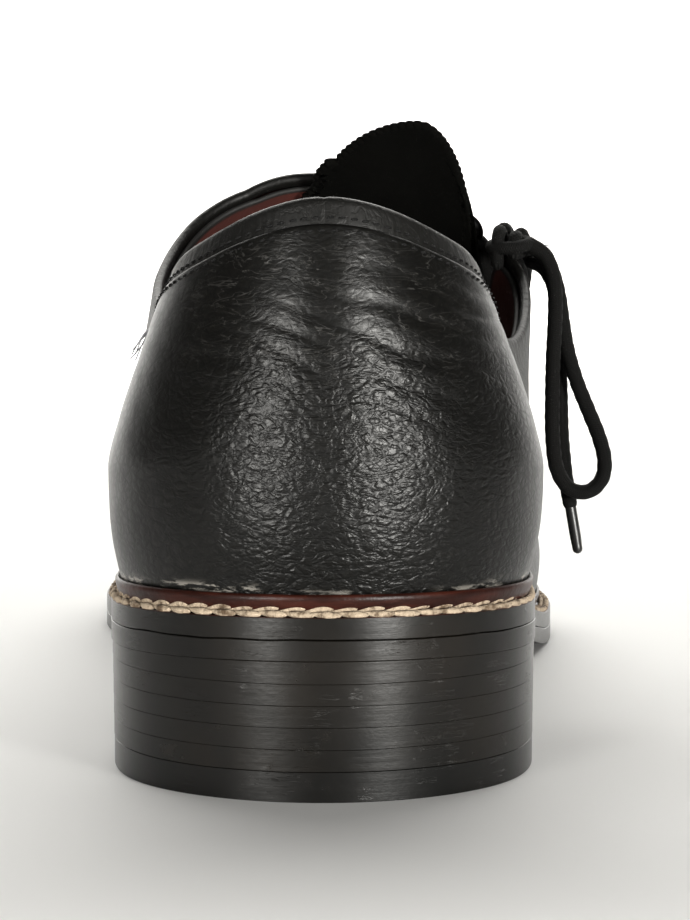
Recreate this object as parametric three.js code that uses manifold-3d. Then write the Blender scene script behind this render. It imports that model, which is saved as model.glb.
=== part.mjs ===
// A right haferl shoe in black leather: a low, laced folk shoe with its lacing on the outer side.
//
// Millimetres, +Z up, toe towards +Y, the outer (lateral) side of the foot towards +X.
// While it is worked out, Y counts forward from the back of the outsole and X from the heel's centre
// line. The whole shoe is then moved so that the origin lies under the middle of its box, on the floor.
//
// The upper is one surface, worked out from a table of sections that run round the shoe from the
// back of the heel to the toe. Each section rises from the feather edge (where upper meets sole),
// swells to a belly and closes on the ridge of the instep. Every leather piece is cut between two
// copies of that surface, pushed out by different amounts.

import * as THREE from "three";
import { mergeVertices } from "three/addons/utils/BufferGeometryUtils.js";
import Module from "manifold-3d";

const wasm = await Module();
wasm.setup();

// Driving dimensions.
const LENGTH = 300; // outsole, back of heel to tip of toe
const WIDTH = 104; // outsole across the ball
const INSTEP = 104; // floor to the ridge of the instep at the throat
const SEAT = 30; // floor to the top of the welt at the back of the heel
const TREAD = 7.1; // floor to the top of the welt under the ball
const TOE_SPRING = 11; // how far the tip of the toe is lifted
const GAP = 0.3; // between pieces that meet on a curve

// The leathers.
const WALL = 2.4; // upper and lining together
const QUARTER_STEP = 0.8; // how far the quarters stand over the vamp
const PANEL_STEP = 1.3; // how far the heel panel stands over the last
const BAND = 4.3; // strip of quarter left showing between collar edge and heel panel

// The sole's layers.
const OUTSOLE = 3.4;
const FLANGE = 0.9; // flat part of the welt
const BEAD = 1.1; // thickness of the welt's upright lip
const BEAD_RISE = 3.1; // how far the lip stands up
const INSOLE = 2.7;
const TOP_PIECE = 5; // rubber piece that the heel stands on
const LIFTS = 4;
const LIFT = 3.55;
const BREAST = 76; // front of the heel, from its back
const HEEL_TAPER = 0.4; // how much smaller the heel is at the floor, each side

// The lacing.
const LACE = 3;
const EYELET_HOLE = 2;
const EYELETS = [105, 119, 133, 147]; // how far forward each pair lies
const EYELET_SETBACK = 5.5; // from the edge of the facing to the middle of a hole
const SLIT_END = 160; // the lacing's front end
const SLIT_TOP_WIDTH = 7;
const SLIT_END_WIDTH = 4;
const SLIT_OUT = 34; // from the heel's centre line to the slit's upper end
const SLIT_SHIFT = 4.5; // how far the slit draws in on its way forward

// One row for each section, from the back of the heel to the tip of the toe, about 25 mm apart.
// The names with outer_ and inner_ serve the lateral and the medial side.
// along, ridge: where the section's inner end lies, in percent of LENGTH and of WIDTH.
// turn: the direction it faces, in degrees from straight back.
// outer, inner: reach of the outsole, in percent of WIDTH. inset: from there in to the feather edge.
// belly: from the feather edge out to the widest place, and rise: how high above it that is.
// crest: height of the section's top, in percent of INSTEP. cone: its reach there.
// upright, flare: how straight the wall stands over the belly, and how far it leans out there.
// crown: how flat the wall is at the crest.
// collar: height of the collar's edge. Beyond the crest there is none.
const SECTIONS = {
  columns: [
    "along", "ridge", "turn", "outer", "inner", "inset", "outer_belly", "inner_belly", "rise",
    "crest", "cone", "outer_upright", "inner_upright", "outer_flare", "inner_flare",
    "outer_crown", "inner_crown", "outer_collar", "inner_collar",
  ],
  rows: [
    [13.3, 0, 0, 38.5, 38.5, 3.6, 3.2, 3.2, 24, 125, 14, 0.4, 0.4, 0, 0, 0.6, 0.6, 97, 97],
    [13.3, 0, 37, 37.7, 37.7, 3.6, 3.3, 2.9, 23.5, 124, 11.5, 0.25, 0.25, 0, 0, 0.3, 0.28, 91.5, 91],
    [14, 0, 74, 36.2, 36.2, 3.5, 3.5, 2.5, 23, 123, 8, 0.15, 0.15, 0, 0, 0.04, 0, 84, 84.5],
    [19.3, 0, 88, 36.2, 35.6, 3.5, 3.5, 2.4, 23, 121, 6, 0.2, 0.12, 0, 0, 0.3, 0.26, 73, 79],
    [27.7, 1.5, 90, 34.6, 34.8, 3.5, 2.5, 1.7, 21, 114, 3, 0.65, 0.5, 5, 0, 1.2, 0.9, 80.5, 84.5],
    [36.3, 2.5, 90, 34.6, 32.9, 3.6, 2.8, 2.3, 20, 100, 0, 0.6, 0.6, 2, 0, 0.72, 0.95, 92, 101],
    [45, -1, 90, 42.3, 30.4, 4, 2.8, 2.7, 17, 85, 0, 0.55, 0.5, 0, 0, 0.7, 0.8, 96, 130],
    [53.7, -5, 90, 52.3, 31.7, 4.8, 2.6, 2.6, 14, 73, 0, 0.5, 0.45, 0, 0, 0.6, 0.65, 130, 130],
    [62, -8.5, 90, 60.2, 35.3, 5.2, 2.5, 2.5, 12.5, 62.5, 0, 0.45, 0.45, 0, 0, 0.52, 0.55, 130, 130],
    [70, -10.1, 91, 61.6, 38.6, 5.4, 2.5, 2.5, 12, 55.5, 0, 0.48, 0.48, 0, 0, 0.52, 0.52, 130, 130],
    [76.3, -9.6, 97, 54.3, 38.8, 5.5, 2.5, 2.5, 12, 51.5, 0, 0.52, 0.52, 0, 0, 0.54, 0.54, 130, 130],
    [80.3, -8.7, 112, 47.1, 39.4, 5.5, 2.5, 2.5, 12, 49.3, 0, 0.55, 0.55, 0, 0, 0.56, 0.56, 130, 130],
    [82.3, -8, 134, 43.6, 40.2, 5.6, 2.5, 2.5, 12.3, 48.4, 0, 0.56, 0.56, 0, 0, 0.58, 0.58, 130, 130],
    [83, -7.7, 158, 46.7, 45.2, 5.8, 2.5, 2.5, 12.5, 48, 0, 0.56, 0.56, 0, 0, 0.58, 0.58, 130, 130],
    [83.3, -7.7, 180, 48.1, 48.1, 5.8, 2.5, 2.5, 12.5, 48, 0, 0.56, 0.56, 0, 0, 0.58, 0.58, 130, 130],
  ],
};
const TOE = SECTIONS.rows.length - 1; // number of the toe's section
const ROUND = 2 * TOE; // sections all the way round, lateral side first

// Grid of the upper: sections from back to toe, and steps up a section below and above the belly.
const STEPS_ALONG = 36;
const STEPS_LOW = 2;
const STEPS_HIGH = 9;
const BELLY_AT = 0.22; // share of a section's way up that lies under the belly

// Smooth closed curve through values at whole numbers, as a function of any number.
function closedSpline(values) {
  const n = values.length;
  let bend = values.map(() => 0);
  for (let pass = 0; pass < 60; pass++) {
    bend = bend.map((_, i) => {
      const before = (i + n - 1) % n;
      const after = (i + 1) % n;
      const kink = values[after] - 2 * values[i] + values[before];
      return (6 * kink - bend[after] - bend[before]) / 4;
    });
  }
  return (place) => {
    const whole = Math.floor(place);
    const right = place - whole;
    const left = 1 - right;
    const a = ((whole % n) + n) % n;
    const b = (a + 1) % n;
    const straight = values[a] * left + values[b] * right;
    return straight + ((left ** 3 - left) * bend[a] + (right ** 3 - right) * bend[b]) / 6;
  };
}

// A column of the table as a function of the place round the shoe. The second name serves the
// medial side.
function column(outerName, innerName = outerName) {
  const outer = SECTIONS.columns.indexOf(outerName);
  const inner = SECTIONS.columns.indexOf(innerName);
  const values = Array.from({ length: ROUND }, (_, i) =>
    i <= TOE ? SECTIONS.rows[i][outer] : SECTIONS.rows[ROUND - i][inner],
  );
  return closedSpline(values);
}

const along = column("along");
const ridge = column("ridge");
const reach = column("outer", "inner");
const inset = column("inset");
const belly = column("outer_belly", "inner_belly");
const rise = column("rise");
const crest = column("crest");
const cone = column("cone");
const upright = column("outer_upright", "inner_upright");
const flare = column("outer_flare", "inner_flare");
const crown = column("outer_crown", "inner_crown");
const collarHeight = column("outer_collar", "inner_collar");

// The direction a section faces, in degrees. It grows by 360 on the way round, so the spline takes
// only what it differs from an even turn.
const EVEN_TURN = 360 / ROUND;
const TURN = SECTIONS.columns.indexOf("turn");
const unevenTurn = closedSpline(
  Array.from({ length: ROUND }, (_, i) => {
    const turn = i <= TOE ? SECTIONS.rows[i][TURN] : 360 - SECTIONS.rows[ROUND - i][TURN];
    return turn - i * EVEN_TURN;
  }),
);

// Height of the top of the welt, at a distance from the back of the heel.
const SEAT_SLOPE = 0.035;
const SEAT_END = 75;
const TREAD_START = 184;
const TREAD_END = 212;
function soleTop(y) {
  if (y < SEAT_END) return SEAT - SEAT_SLOPE * y;
  if (y < TREAD_START) {
    const span = TREAD_START - SEAT_END;
    const t = (y - SEAT_END) / span;
    const high = SEAT - SEAT_SLOPE * SEAT_END;
    const fall = -SEAT_SLOPE * span;
    const ease = 2 * t ** 3 - 3 * t ** 2;
    return high * (1 + ease) + fall * (t ** 3 - 2 * t ** 2 + t) - TREAD * ease;
  }
  if (y < TREAD_END) return TREAD;
  return TREAD + TOE_SPRING * ((y - TREAD_END) / (LENGTH - TREAD_END)) ** 2;
}

// Everything that one section states, in millimetres.
function sectionAt(place) {
  const angle = THREE.MathUtils.degToRad(place * EVEN_TURN + unevenTurn(place));
  const edge = (reach(place) * WIDTH) / 100;
  const section = {
    x: (ridge(place) * WIDTH) / 100,
    y: (along(place) * LENGTH) / 100,
    outX: Math.sin(angle),
    outY: -Math.cos(angle),
    edge,
    feather: edge - inset(place),
    crest: (crest(place) * INSTEP) / 100,
    cone: Math.max(0, cone(place)),
  };
  section.foot = soleTop(section.y + section.outY * section.feather) - FLANGE + GAP;
  section.belly = section.feather + belly(place);
  section.bellyHeight = section.foot + rise(place);
  section.straightTo =
    section.bellyHeight + upright(place) * (section.crest - section.bellyHeight);
  section.leanTo = section.belly + flare(place);
  section.flatTo = section.cone + crown(place) * (section.belly - section.cone);
  return section;
}

// A point of a section, at a reach from its inner end and a height.
function inSection(section, out, height) {
  return new THREE.Vector3(section.x + section.outX * out, section.y + section.outY * out, height);
}

// Reach and height of the wall, from 0 at the feather edge to 1 at the crest: a curve of second
// order up to the belly, and one of third order from there to the crest.
const LOW_PULL = 0.4; // how soon the wall turns upright under the belly
function wallCurve(section, up) {
  if (up < BELLY_AT) {
    const t = up / BELLY_AT;
    const s = 1 - t;
    const pull = section.foot + LOW_PULL * (section.bellyHeight - section.foot);
    return [
      s * s * section.feather + (1 - s * s) * section.belly,
      s * s * section.foot + 2 * s * t * pull + t * t * section.bellyHeight,
    ];
  }
  const t = (up - BELLY_AT) / (1 - BELLY_AT);
  const s = 1 - t;
  const [a, b, c, d] = [s ** 3, 3 * s * s * t, 3 * s * t * t, t ** 3];
  return [
    (a + b) * section.belly + c * section.flatTo + d * section.cone,
    a * section.bellyHeight + b * section.straightTo + (c + d) * section.crest,
  ];
}

function wallPoint(place, up) {
  const section = sectionAt(place);
  return inSection(section, ...wallCurve(section, up));
}

// Outward direction of the wall. It is taken a little below the crest, where the toe's sections
// meet in one point.
const NUDGE = 0.002;
const HIGHEST_NORMAL = 0.985;
function wallNormal(place, up) {
  const at = THREE.MathUtils.clamp(up, NUDGE, HIGHEST_NORMAL);
  const forward = wallPoint(place + NUDGE, at).sub(wallPoint(place - NUDGE, at));
  const upward = wallPoint(place, at + NUDGE).sub(wallPoint(place, at - NUDGE));
  return forward.cross(upward).normalize();
}

// A point at a distance outside the wall. The two sides share their points on the crest, and the
// feather edge keeps its height.
function wallOffset(place, up, out) {
  const normal = wallNormal(place, up);
  if (up >= 1) normal.add(wallNormal(ROUND - place, up)).normalize();
  const foot = wallPoint(place, up);
  const point = foot.clone().addScaledVector(normal, out);
  if (up <= 0) point.z = foot.z;
  return point;
}

// The step up a section (0 to 1) where one of its two curves, reach or height, meets a value.
const REACH = 0;
const HEIGHT = 1;
function stepWhere(section, which, value) {
  let low = BELLY_AT;
  let high = 1;
  for (let i = 0; i < 30; i++) {
    const middle = (low + high) / 2;
    const found = wallCurve(section, middle)[which];
    if (which === REACH ? found > value : found < value) low = middle;
    else high = middle;
  }
  return (low + high) / 2;
}

// The section, on the lateral side, whose inner end lies at y: the sections from the ankle to the
// ball face straight out.
function placeAlong(y) {
  let low = 3;
  let high = 10;
  for (let i = 0; i < 30; i++) {
    const middle = (low + high) / 2;
    if ((along(middle) * LENGTH) / 100 < y) low = middle;
    else high = middle;
  }
  return (low + high) / 2;
}

// The section at y and the one across from it as one arch, from 0 at the lateral feather edge over
// the crest at 1 to 2 at the medial one: a point at a distance outside it.
function onArch(y, turn, out) {
  const place = placeAlong(y);
  return turn <= 1 ? wallOffset(place, turn, out) : wallOffset(ROUND - place, 2 - turn, out);
}

// The point at a distance outside the upper, at y, that lies so far across the instep from the
// middle of the lacing slit: up over the crest if across is positive, down the side if it isn't.
function acrossSlit(y, across, out) {
  const section = sectionAt(placeAlong(y));
  const PACES = 16;
  const shift = SLIT_SHIFT * THREE.MathUtils.smoothstep(y, 99, 125);
  let turn = stepWhere(section, REACH, SLIT_OUT - shift - section.x);
  for (let i = 0; i < PACES; i++) {
    const pace = onArch(y, turn + NUDGE, 0).distanceTo(onArch(y, turn - NUDGE, 0)) / (2 * NUDGE);
    turn += across / PACES / pace;
  }
  return onArch(y, turn, out);
}

// A closed solid through loops of points, as triangles. A first or last loop that has shrunk to a
// doubled line closes by itself, and another is capped.
function loft(loops, { capStart = false, capEnd = false, ring = false } = {}) {
  const corners = [];
  const around = loops[0].length;
  const pairs = ring ? loops.length : loops.length - 1;
  for (let j = 0; j < pairs; j++) {
    const here = loops[j];
    const next = loops[(j + 1) % loops.length];
    for (let k = 0; k < around; k++) {
      const l = (k + 1) % around;
      corners.push(here[k], next[k], next[l], here[k], next[l], here[l]);
    }
  }
  const cap = (loop, turned) => {
    const middle = loop.reduce((sum, p) => sum.add(p), new THREE.Vector3()).divideScalar(around);
    loop.forEach((p, k) => {
      const q = loop[(k + 1) % around];
      if (turned) corners.push(middle, q, p);
      else corners.push(middle, p, q);
    });
  };
  if (capStart) cap(loops[0], false);
  if (capEnd) cap(loops.at(-1), true);
  return solidFrom(corners);
}

// Triangle corners, three by three, as a manifold solid that faces out.
function solidFrom(corners) {
  const loose = new THREE.BufferGeometry().setFromPoints(corners);
  const merged = mergeVertices(loose, 1e-3);
  const index = merged.index.array;
  const kept = [];
  for (let i = 0; i < index.length; i += 3) {
    const [a, b, c] = index.slice(i, i + 3);
    if (a !== b && b !== c && c !== a) kept.push(a, b, c);
  }
  const vertProperties = merged.attributes.position.array;
  const make = (triVerts) =>
    new wasm.Manifold(new wasm.Mesh({ numProp: 3, vertProperties, triVerts }));
  const made = make(new Uint32Array(kept));
  return made.volume() > 0 ? made : make(new Uint32Array(kept.reverse()));
}

function geometryOf(solid) {
  const mesh = solid.getMesh();
  const positions = [];
  for (const v of mesh.triVerts) {
    const at = v * mesh.numProp;
    positions.push(...mesh.vertProperties.slice(at, at + 3));
  }
  const geometry = new THREE.BufferGeometry();
  geometry.setAttribute("position", new THREE.Float32BufferAttribute(positions, 3));
  geometry.computeVertexNormals();
  return geometry;
}

function solidOfGeometry(geometry) {
  const loose = geometry.index ? geometry.toNonIndexed() : geometry;
  const position = loose.getAttribute("position");
  const corners = Array.from({ length: position.count }, (_, i) =>
    new THREE.Vector3().fromBufferAttribute(position, i),
  );
  return solidFrom(corners);
}

const range = (from, to, steps) =>
  Array.from({ length: steps + 1 }, (_, i) => from + ((to - from) * i) / steps);

// Places from the back of the heel to the toe, closer together round both ends.
const END_CROWDING = 0.45;
const placesAlong = (steps) =>
  range(0, 1, steps).map(
    (t) => TOE * (t - (END_CROWDING * Math.sin(2 * Math.PI * t)) / (2 * Math.PI)),
  );

// The filled last, pushed out by a distance. With a depth below, its floor lies that much deeper.
function lastSolid(out, below = 0) {
  const steps = [
    ...range(0, BELLY_AT, STEPS_LOW),
    ...range(BELLY_AT, 1, STEPS_HIGH).slice(1),
  ];
  const half = (place) => {
    const points = steps.map((up) => wallOffset(place, up, out));
    if (below > 0) points.unshift(points[0].clone().setZ(points[0].z - below));
    return points;
  };
  const loops = placesAlong(STEPS_ALONG).map((place) => [
    ...half(ROUND - place),
    ...half(place).reverse(),
  ]);
  return loft(loops);
}

// Everything above the collar's edge lowered by a drop. It reaches far outside the shoe, and ends
// at the throat, which lies further forward on the lateral side.
const FAR = 110;
const OUTER_THROAT = 114;
const INNER_THROAT = 108;
function aboveCollar(drop) {
  const loops = range(0, 1, 30).map((t) => {
    const outerPlace = t * placeAlong(OUTER_THROAT);
    const innerPlace = ROUND - t * placeAlong(INNER_THROAT);
    const lateral = sectionAt(outerPlace);
    const medial = sectionAt(innerPlace);
    const outer = collarHeight(outerPlace) - drop;
    const inner = collarHeight(innerPlace) - drop;
    return [
      inSection(medial, FAR, inner),
      inSection(medial, medial.cone + 8, inner),
      inSection(lateral, lateral.cone + 8, outer),
      inSection(lateral, FAR, outer),
      inSection(lateral, FAR, 220),
      inSection(lateral, 0, 220),
      inSection(medial, FAR, 220),
    ];
  });
  return loft(loops, { capEnd: true });
}

// A prism through the whole width of the shoe, from its outline in the side view.
function sidePrism(outline) {
  const shape = new THREE.Shape(outline.map(([y, z]) => new THREE.Vector2(y, z)));
  const geometry = new THREE.ExtrudeGeometry(shape, { depth: 2 * FAR, bevelEnabled: false });
  geometry.applyMatrix4(
    new THREE.Matrix4().makeBasis(
      new THREE.Vector3(0, 1, 0),
      new THREE.Vector3(0, 0, 1),
      new THREE.Vector3(1, 0, 0),
    ),
  );
  geometry.translate(-FAR, 0, 0);
  return solidOfGeometry(geometry);
}

// The front edges of the quarters and of the heel panel, from the sole up, in the side view.
const QUARTER_FRONT = [[122, 0], [125, 28], [134, 44], [150, 58], [165, 66], [172, 75], [174, 140]];
const PANEL_FRONT = [[86, 0], [80, 28], [66, 42], [56, 54], [53, 62], [52, 70], [52, 140]];
const behind = (edge, back = 0) =>
  sidePrism([[-60, 0], ...edge.map(([y, z]) => [y - back, z]), [-60, edge.at(-1)[1]]]);

// A patch of the upper between two distances outside it. rows gives for each y how far across the
// slit it begins and ends.
function patch(rows, low, high, stepsAcross) {
  const line = ([y, from, to], out) =>
    range(from, to, stepsAcross).map((across) => acrossSlit(y, across, out));
  const loops = rows.map((row) => [...line(row, high), ...line(row, low).reverse()]);
  return loft(loops, { capStart: true, capEnd: true });
}

// Half the width of the lacing slit, at a distance y along the shoe.
const SLIT_START = 99;
function slitHalf(y) {
  const share = (y - SLIT_START) / (SLIT_END - SLIT_START);
  return THREE.MathUtils.lerp(SLIT_TOP_WIDTH, SLIT_END_WIDTH, share) / 2;
}

// How far an eyelet lies from the middle of the slit. side is 1 towards the instep, -1 below.
const eyeletAcross = (y, side) => side * (slitHalf(y) + EYELET_SETBACK);

// A round tube with closed ends through points.
function tube(points, diameter, steps) {
  const curve = new THREE.CatmullRomCurve3(points, false, "centripetal");
  const frames = curve.computeFrenetFrames(steps, false);
  const SIDES = 6;
  const loops = range(0, 1, steps).map((t, j) => {
    const middle = curve.getPointAt(t);
    return Array.from({ length: SIDES }, (_, k) => {
      const angle = (2 * Math.PI * k) / SIDES;
      return middle
        .clone()
        .addScaledVector(frames.normals[j], (Math.cos(angle) * diameter) / 2)
        .addScaledVector(frames.binormals[j], (Math.sin(angle) * diameter) / 2);
    });
  });
  return loft(loops, { capStart: true, capEnd: true });
}

// The upper: vamp and quarters as one wall, open at the collar, at the lacing and underneath.
function makeUpper() {
  const collar = aboveCollar(0);
  const quarters = lastSolid(QUARTER_STEP).intersect(behind(QUARTER_FRONT));
  const panelBed = aboveCollar(BAND)
    .add(sidePrism([...PANEL_FRONT, [FAR * 4, 140], [FAR * 4, 0]]));
  const raised = quarters.intersect(panelBed);
  const slitRows = range(SLIT_START, SLIT_END, 12).map((y) => [y, -slitHalf(y), slitHalf(y)]);
  let upper = lastSolid(0)
    .add(raised)
    .subtract(lastSolid(-WALL, 3))
    .subtract(collar)
    .subtract(patch(slitRows, -5, 4, 2));
  for (const y of EYELETS) {
    for (const side of [-1, 1]) {
      const ends = [-5, 4].map((out) => acrossSlit(y, eyeletAcross(y, side), out));
      upper = upper.subtract(tube(ends, 2 * EYELET_HOLE, 1));
    }
  }
  return upper;
}

// The one-piece panel round the back of the heel, over the quarters.
function makeHeelPanel() {
  return lastSolid(PANEL_STEP)
    .subtract(lastSolid(GAP, 3))
    .intersect(behind(PANEL_FRONT, GAP))
    .subtract(aboveCollar(BAND + GAP));
}

// The tongue: a thin flap under the lacing whose end stands up behind the throat. Its free edge is
// pinked, so it is a row of teeth. All widths run across from the middle of the slit.
const TONGUE = {
  front: 166, end: 85.5, peak: 0.37, shoulder: 19, thickness: 1.6, tooth: 0.8,
  endOuter: 5, endInner: 43, outer: -9, inner: 46,
};
const PINKED_STEPS = 40;
function tongueAt(across, back, out) {
  const b = across < TONGUE.peak
    ? (TONGUE.peak - across) / (1 + TONGUE.peak)
    : (across - TONGUE.peak) / (1 - TONGUE.peak);
  const end = TONGUE.end + TONGUE.shoulder * b ** (across < TONGUE.peak ? 1.25 : 1.8);
  const y = THREE.MathUtils.lerp(TONGUE.front, end, back);
  const narrow = THREE.MathUtils.smoothstep(back, 0.8, 0.98);
  const from = THREE.MathUtils.lerp(TONGUE.outer, TONGUE.endOuter, narrow);
  const to = THREE.MathUtils.lerp(TONGUE.inner, TONGUE.endInner, narrow);
  return acrossSlit(y, THREE.MathUtils.mapLinear(across, 1, -1, from, to), out);
}
function makeTongue() {
  const high = -(WALL + 1.5 * GAP);
  const low = high - TONGUE.thickness;
  const length = TONGUE.front - TONGUE.end;
  const line = (back, out) =>
    range(-1, 1, PINKED_STEPS).map((across, k) => {
      const tooth = back === 1 && k % 2 ? TONGUE.tooth / length : 0;
      return tongueAt(across, back + tooth, out);
    });
  const backs = range(0, 1, 8).map((t) => Math.sqrt(t));
  const loops = backs.map((back) => [...line(back, high), ...line(back, low).reverse()]);
  return loft(loops, { capStart: true, capEnd: true });
}

// A flat layer of the sole between two depths under the top of the welt, its edge drawn in by a
// distance. It ends at the toe, or is cut off straight at a distance from the back.
const SOLE_ACROSS = 4;
function soleLayer(reachOf, low, high, end = LENGTH) {
  const line = (place, heightOf) => {
    const [a, b] = [ROUND - place, place].map((p) => {
      const section = sectionAt(p);
      return inSection(section, reachOf(section), 0);
    });
    return range(0, 1, SOLE_ACROSS).map((t) => {
      const p = a.clone().lerp(b, t);
      p.z = heightOf(p.y);
      return p;
    });
  };
  const places = end < LENGTH ? range(0, placeAlong(end), 14) : placesAlong(36);
  const loops = places.map((place) => [
    ...line(place, high),
    ...line(place, low).reverse(),
  ]);
  return loft(loops, { capEnd: end < LENGTH });
}

const under = (depth) => (y) => soleTop(y) - depth;
const level = (height) => () => height;

// The heel's outline draws in evenly towards the floor.
const heelReach = (height) => (section) =>
  section.edge - 0.2 - HEEL_TAPER * (1 - height / SEAT);

function makeHeel() {
  const top = TOP_PIECE + LIFTS * LIFT;
  const layers = [["top_piece", 0, TOP_PIECE]];
  for (let k = 0; k < LIFTS; k++) {
    const low = TOP_PIECE + k * LIFT;
    layers.push([`heel_lift_${k + 1}`, low, low + LIFT]);
  }
  const CLEAR = 0.05; // between level layers
  const flat = layers.map(([name, low, high]) => {
    const bottom = low > 0 ? low + CLEAR : 0;
    return [name, soleLayer(heelReach((low + high) / 2), level(bottom), level(high), BREAST)];
  });
  const wedge = soleLayer(heelReach(SEAT), level(top + CLEAR), under(TREAD + GAP), BREAST);
  return [...flat, ["heel_wedge", wedge]];
}

// The welt: a flat flange on the midsole, and a lip that stands against the upper.
function makeWelt() {
  const lateral = placesAlong(36);
  const medial = lateral.slice(1, -1).reverse().map((place) => ROUND - place);
  const places = [...lateral, ...medial];
  const loops = places.map((place) => {
    const section = sectionAt(place);
    const top = soleTop(section.y + section.outY * section.edge);
    const lipUp = stepOfLip(section);
    const inner = (out, lift) => {
      const p = wallOffset(place, lipUp * lift, out);
      return p;
    };
    const gap = lipGap(place);
    const base = inSection(section, section.feather + gap, section.foot);
    const shelf = inner(gap + BEAD, 0.35);
    shelf.z = soleTop(shelf.y);
    return [
      base,
      inner(gap, 0.5),
      inner(gap, 0.95),
      inner(gap + BEAD / 2, 1.08),
      inner(gap + BEAD, 0.9),
      shelf,
      inSection(section, section.edge - 0.1, top),
      inSection(section, section.edge - 0.1, top - FLANGE + GAP),
    ];
  });
  return loft(loops, { ring: true });
}

// How far the welt's lip stands off the last: it clears the heel panel at the back, the quarters
// at the waist and the vamp in front.
function lipGap(place) {
  const y = wallPoint(place, 0).y;
  if (y < 88) return PANEL_STEP + GAP;
  if (y < 132) return QUARTER_STEP + GAP;
  return GAP;
}

function stepOfLip(section) {
  const height = soleTop(section.y + section.outY * section.feather) + BEAD_RISE;
  let low = 0;
  let high = BELLY_AT;
  for (let i = 0; i < 24; i++) {
    const middle = (low + high) / 2;
    if (wallCurve(section, middle)[HEIGHT] < height) low = middle;
    else high = middle;
  }
  return low;
}

// The lace where it crosses the slit: straight over at the front, then in crosses up to the last
// pair of eyelets.
const LACE_LIFT = QUARTER_STEP + 2 * GAP + LACE / 2;
function makeLaceBars() {
  const strand = (fromY, fromSide, toY, toSide) => {
    const from = eyeletAcross(fromY, fromSide);
    const to = eyeletAcross(toY, toSide);
    const points = range(0, 1, 5).map((t) => {
      const y = THREE.MathUtils.lerp(fromY, toY, t);
      return acrossSlit(y, THREE.MathUtils.lerp(from, to, t), LACE_LIFT);
    });
    return tube(points, LACE, 5);
  };
  const front = EYELETS.length - 1;
  let bars = strand(EYELETS[front], -1, EYELETS[front], 1);
  for (let k = front; k > 0; k--) {
    for (const side of [-1, 1]) {
      bars = bars.add(strand(EYELETS[k], side, EYELETS[k - 1], -side));
    }
  }
  return bars;
}

// The lace's free stretches. Each route is a list of points chosen by hand, [x, y, z], that the cord
// follows from the knot. The knot itself lies over the slit behind the last pair of eyelets.
const KNOT = { x: 36.8, y: 96.6, z: 91.7, wide: 9.4, deep: 8, high: 5.6 };
const ROUTES = {
  // Hangs down outside the shoe.
  lace_loop: [
    [41, 95.5, 89.8], [43.5, 95.4, 88], [45, 95.3, 84.8], [45.6, 95.2, 80.5], [45.6, 95.2, 75],
    [45.3, 95.3, 68], [45.2, 95.5, 60], [45.3, 95.8, 53], [46, 96, 47], [47.8, 96.2, 43.2],
    [50.4, 96.4, 41.6], [53.2, 96.6, 42], [55.3, 96.9, 44.4], [55.7, 97.4, 48], [54.6, 98, 52.5],
    [52.6, 98.6, 57.5], [50.4, 99.1, 63], [48.6, 99.4, 69], [47.6, 99.5, 74.5], [46.8, 99.5, 79.8],
    [45.6, 99.2, 84.2], [43.6, 98.9, 87.7], [40.9, 98.4, 90.1],
  ],
  // Falls forward over the lateral row of eyelets.
  lace_loop_far: [
    [36, 100.9, 92.9], [36.6, 104.3, 92.8], [37.2, 107.5, 92.2], [37.7, 110.5, 91.6], [38, 113.5, 90.8],
    [38.2, 116.5, 89.8], [38.3, 119.5, 88.4], [38.5, 122.3, 86.4], [38.8, 124.3, 83.8], [39.3, 124.7, 80.8],
    [39.9, 123.4, 78.6], [40.4, 121, 77.9], [40.8, 118.3, 79.2], [41, 115.6, 81.4], [41.1, 112.6, 83.8],
    [41, 109.7, 86.1], [40.8, 106.8, 88.2], [40.3, 103.9, 90.5], [39.4, 100.8, 91.9],
  ],
  // Hangs down between the loop and the quarter.
  lace_end: [
    [41.6, 101.8, 86.6], [43.2, 102.4, 86], [44.5, 102.8, 84.9], [45.5, 103, 83.2], [46.3, 103, 81],
    [46.8, 102.9, 78], [47, 102.8, 75], [47.2, 102.7, 71.5], [47.3, 102.7, 68], [47.4, 102.7, 64.5],
    [47.5, 102.6, 61], [47.6, 102.5, 57.5], [47.7, 102.4, 54], [47.9, 102.3, 50.7], [48.2, 102.1, 47.5],
    [48.5, 102, 44.7], [48.9, 101.8, 42], [49.4, 101.6, 39],
  ],
  // Lies forward along the lower row of eyelets.
  lace_end_far: [
    [36.8, 100.8, 89.3], [37.6, 102.2, 88.3], [38.4, 103.8, 87], [39.2, 105.3, 85.8], [39.8, 106.9, 84.4],
    [40.1, 108.6, 83], [40.2, 110.4, 81.6], [40.2, 112.2, 80.2], [40.2, 114, 78.8], [40.2, 115.8, 77.5],
    [40.2, 117.6, 76.2], [40.2, 119.3, 75], [40.2, 121, 73.8], [40.2, 122.5, 72.7], [40.2, 124, 71.6],
    [40.2, 125, 70.8],
  ],
};
const AGLET = { length: 9, diameter: 2.2 };
const ROUTE_STEPS = { lace_loop: 28, lace_loop_far: 24, lace_end: 12, lace_end_far: 8 };

function makeKnot() {
  const ball = new THREE.SphereGeometry(0.5, 14, 10);
  ball.scale(KNOT.wide, KNOT.deep, KNOT.high);
  ball.translate(KNOT.x, KNOT.y, KNOT.z);
  return solidOfGeometry(ball);
}

// The stiff tip that goes on in a lace end's last direction, 0.3 mm beyond it.
function makeAglet(route) {
  const points = route.map((p) => new THREE.Vector3(...p));
  const end = points.at(-1);
  const way = end.clone().sub(points.at(-2)).normalize();
  const from = end.clone().addScaledVector(way, GAP);
  return tube([from, from.clone().addScaledVector(way, AGLET.length)], AGLET.diameter, 2);
}

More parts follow.
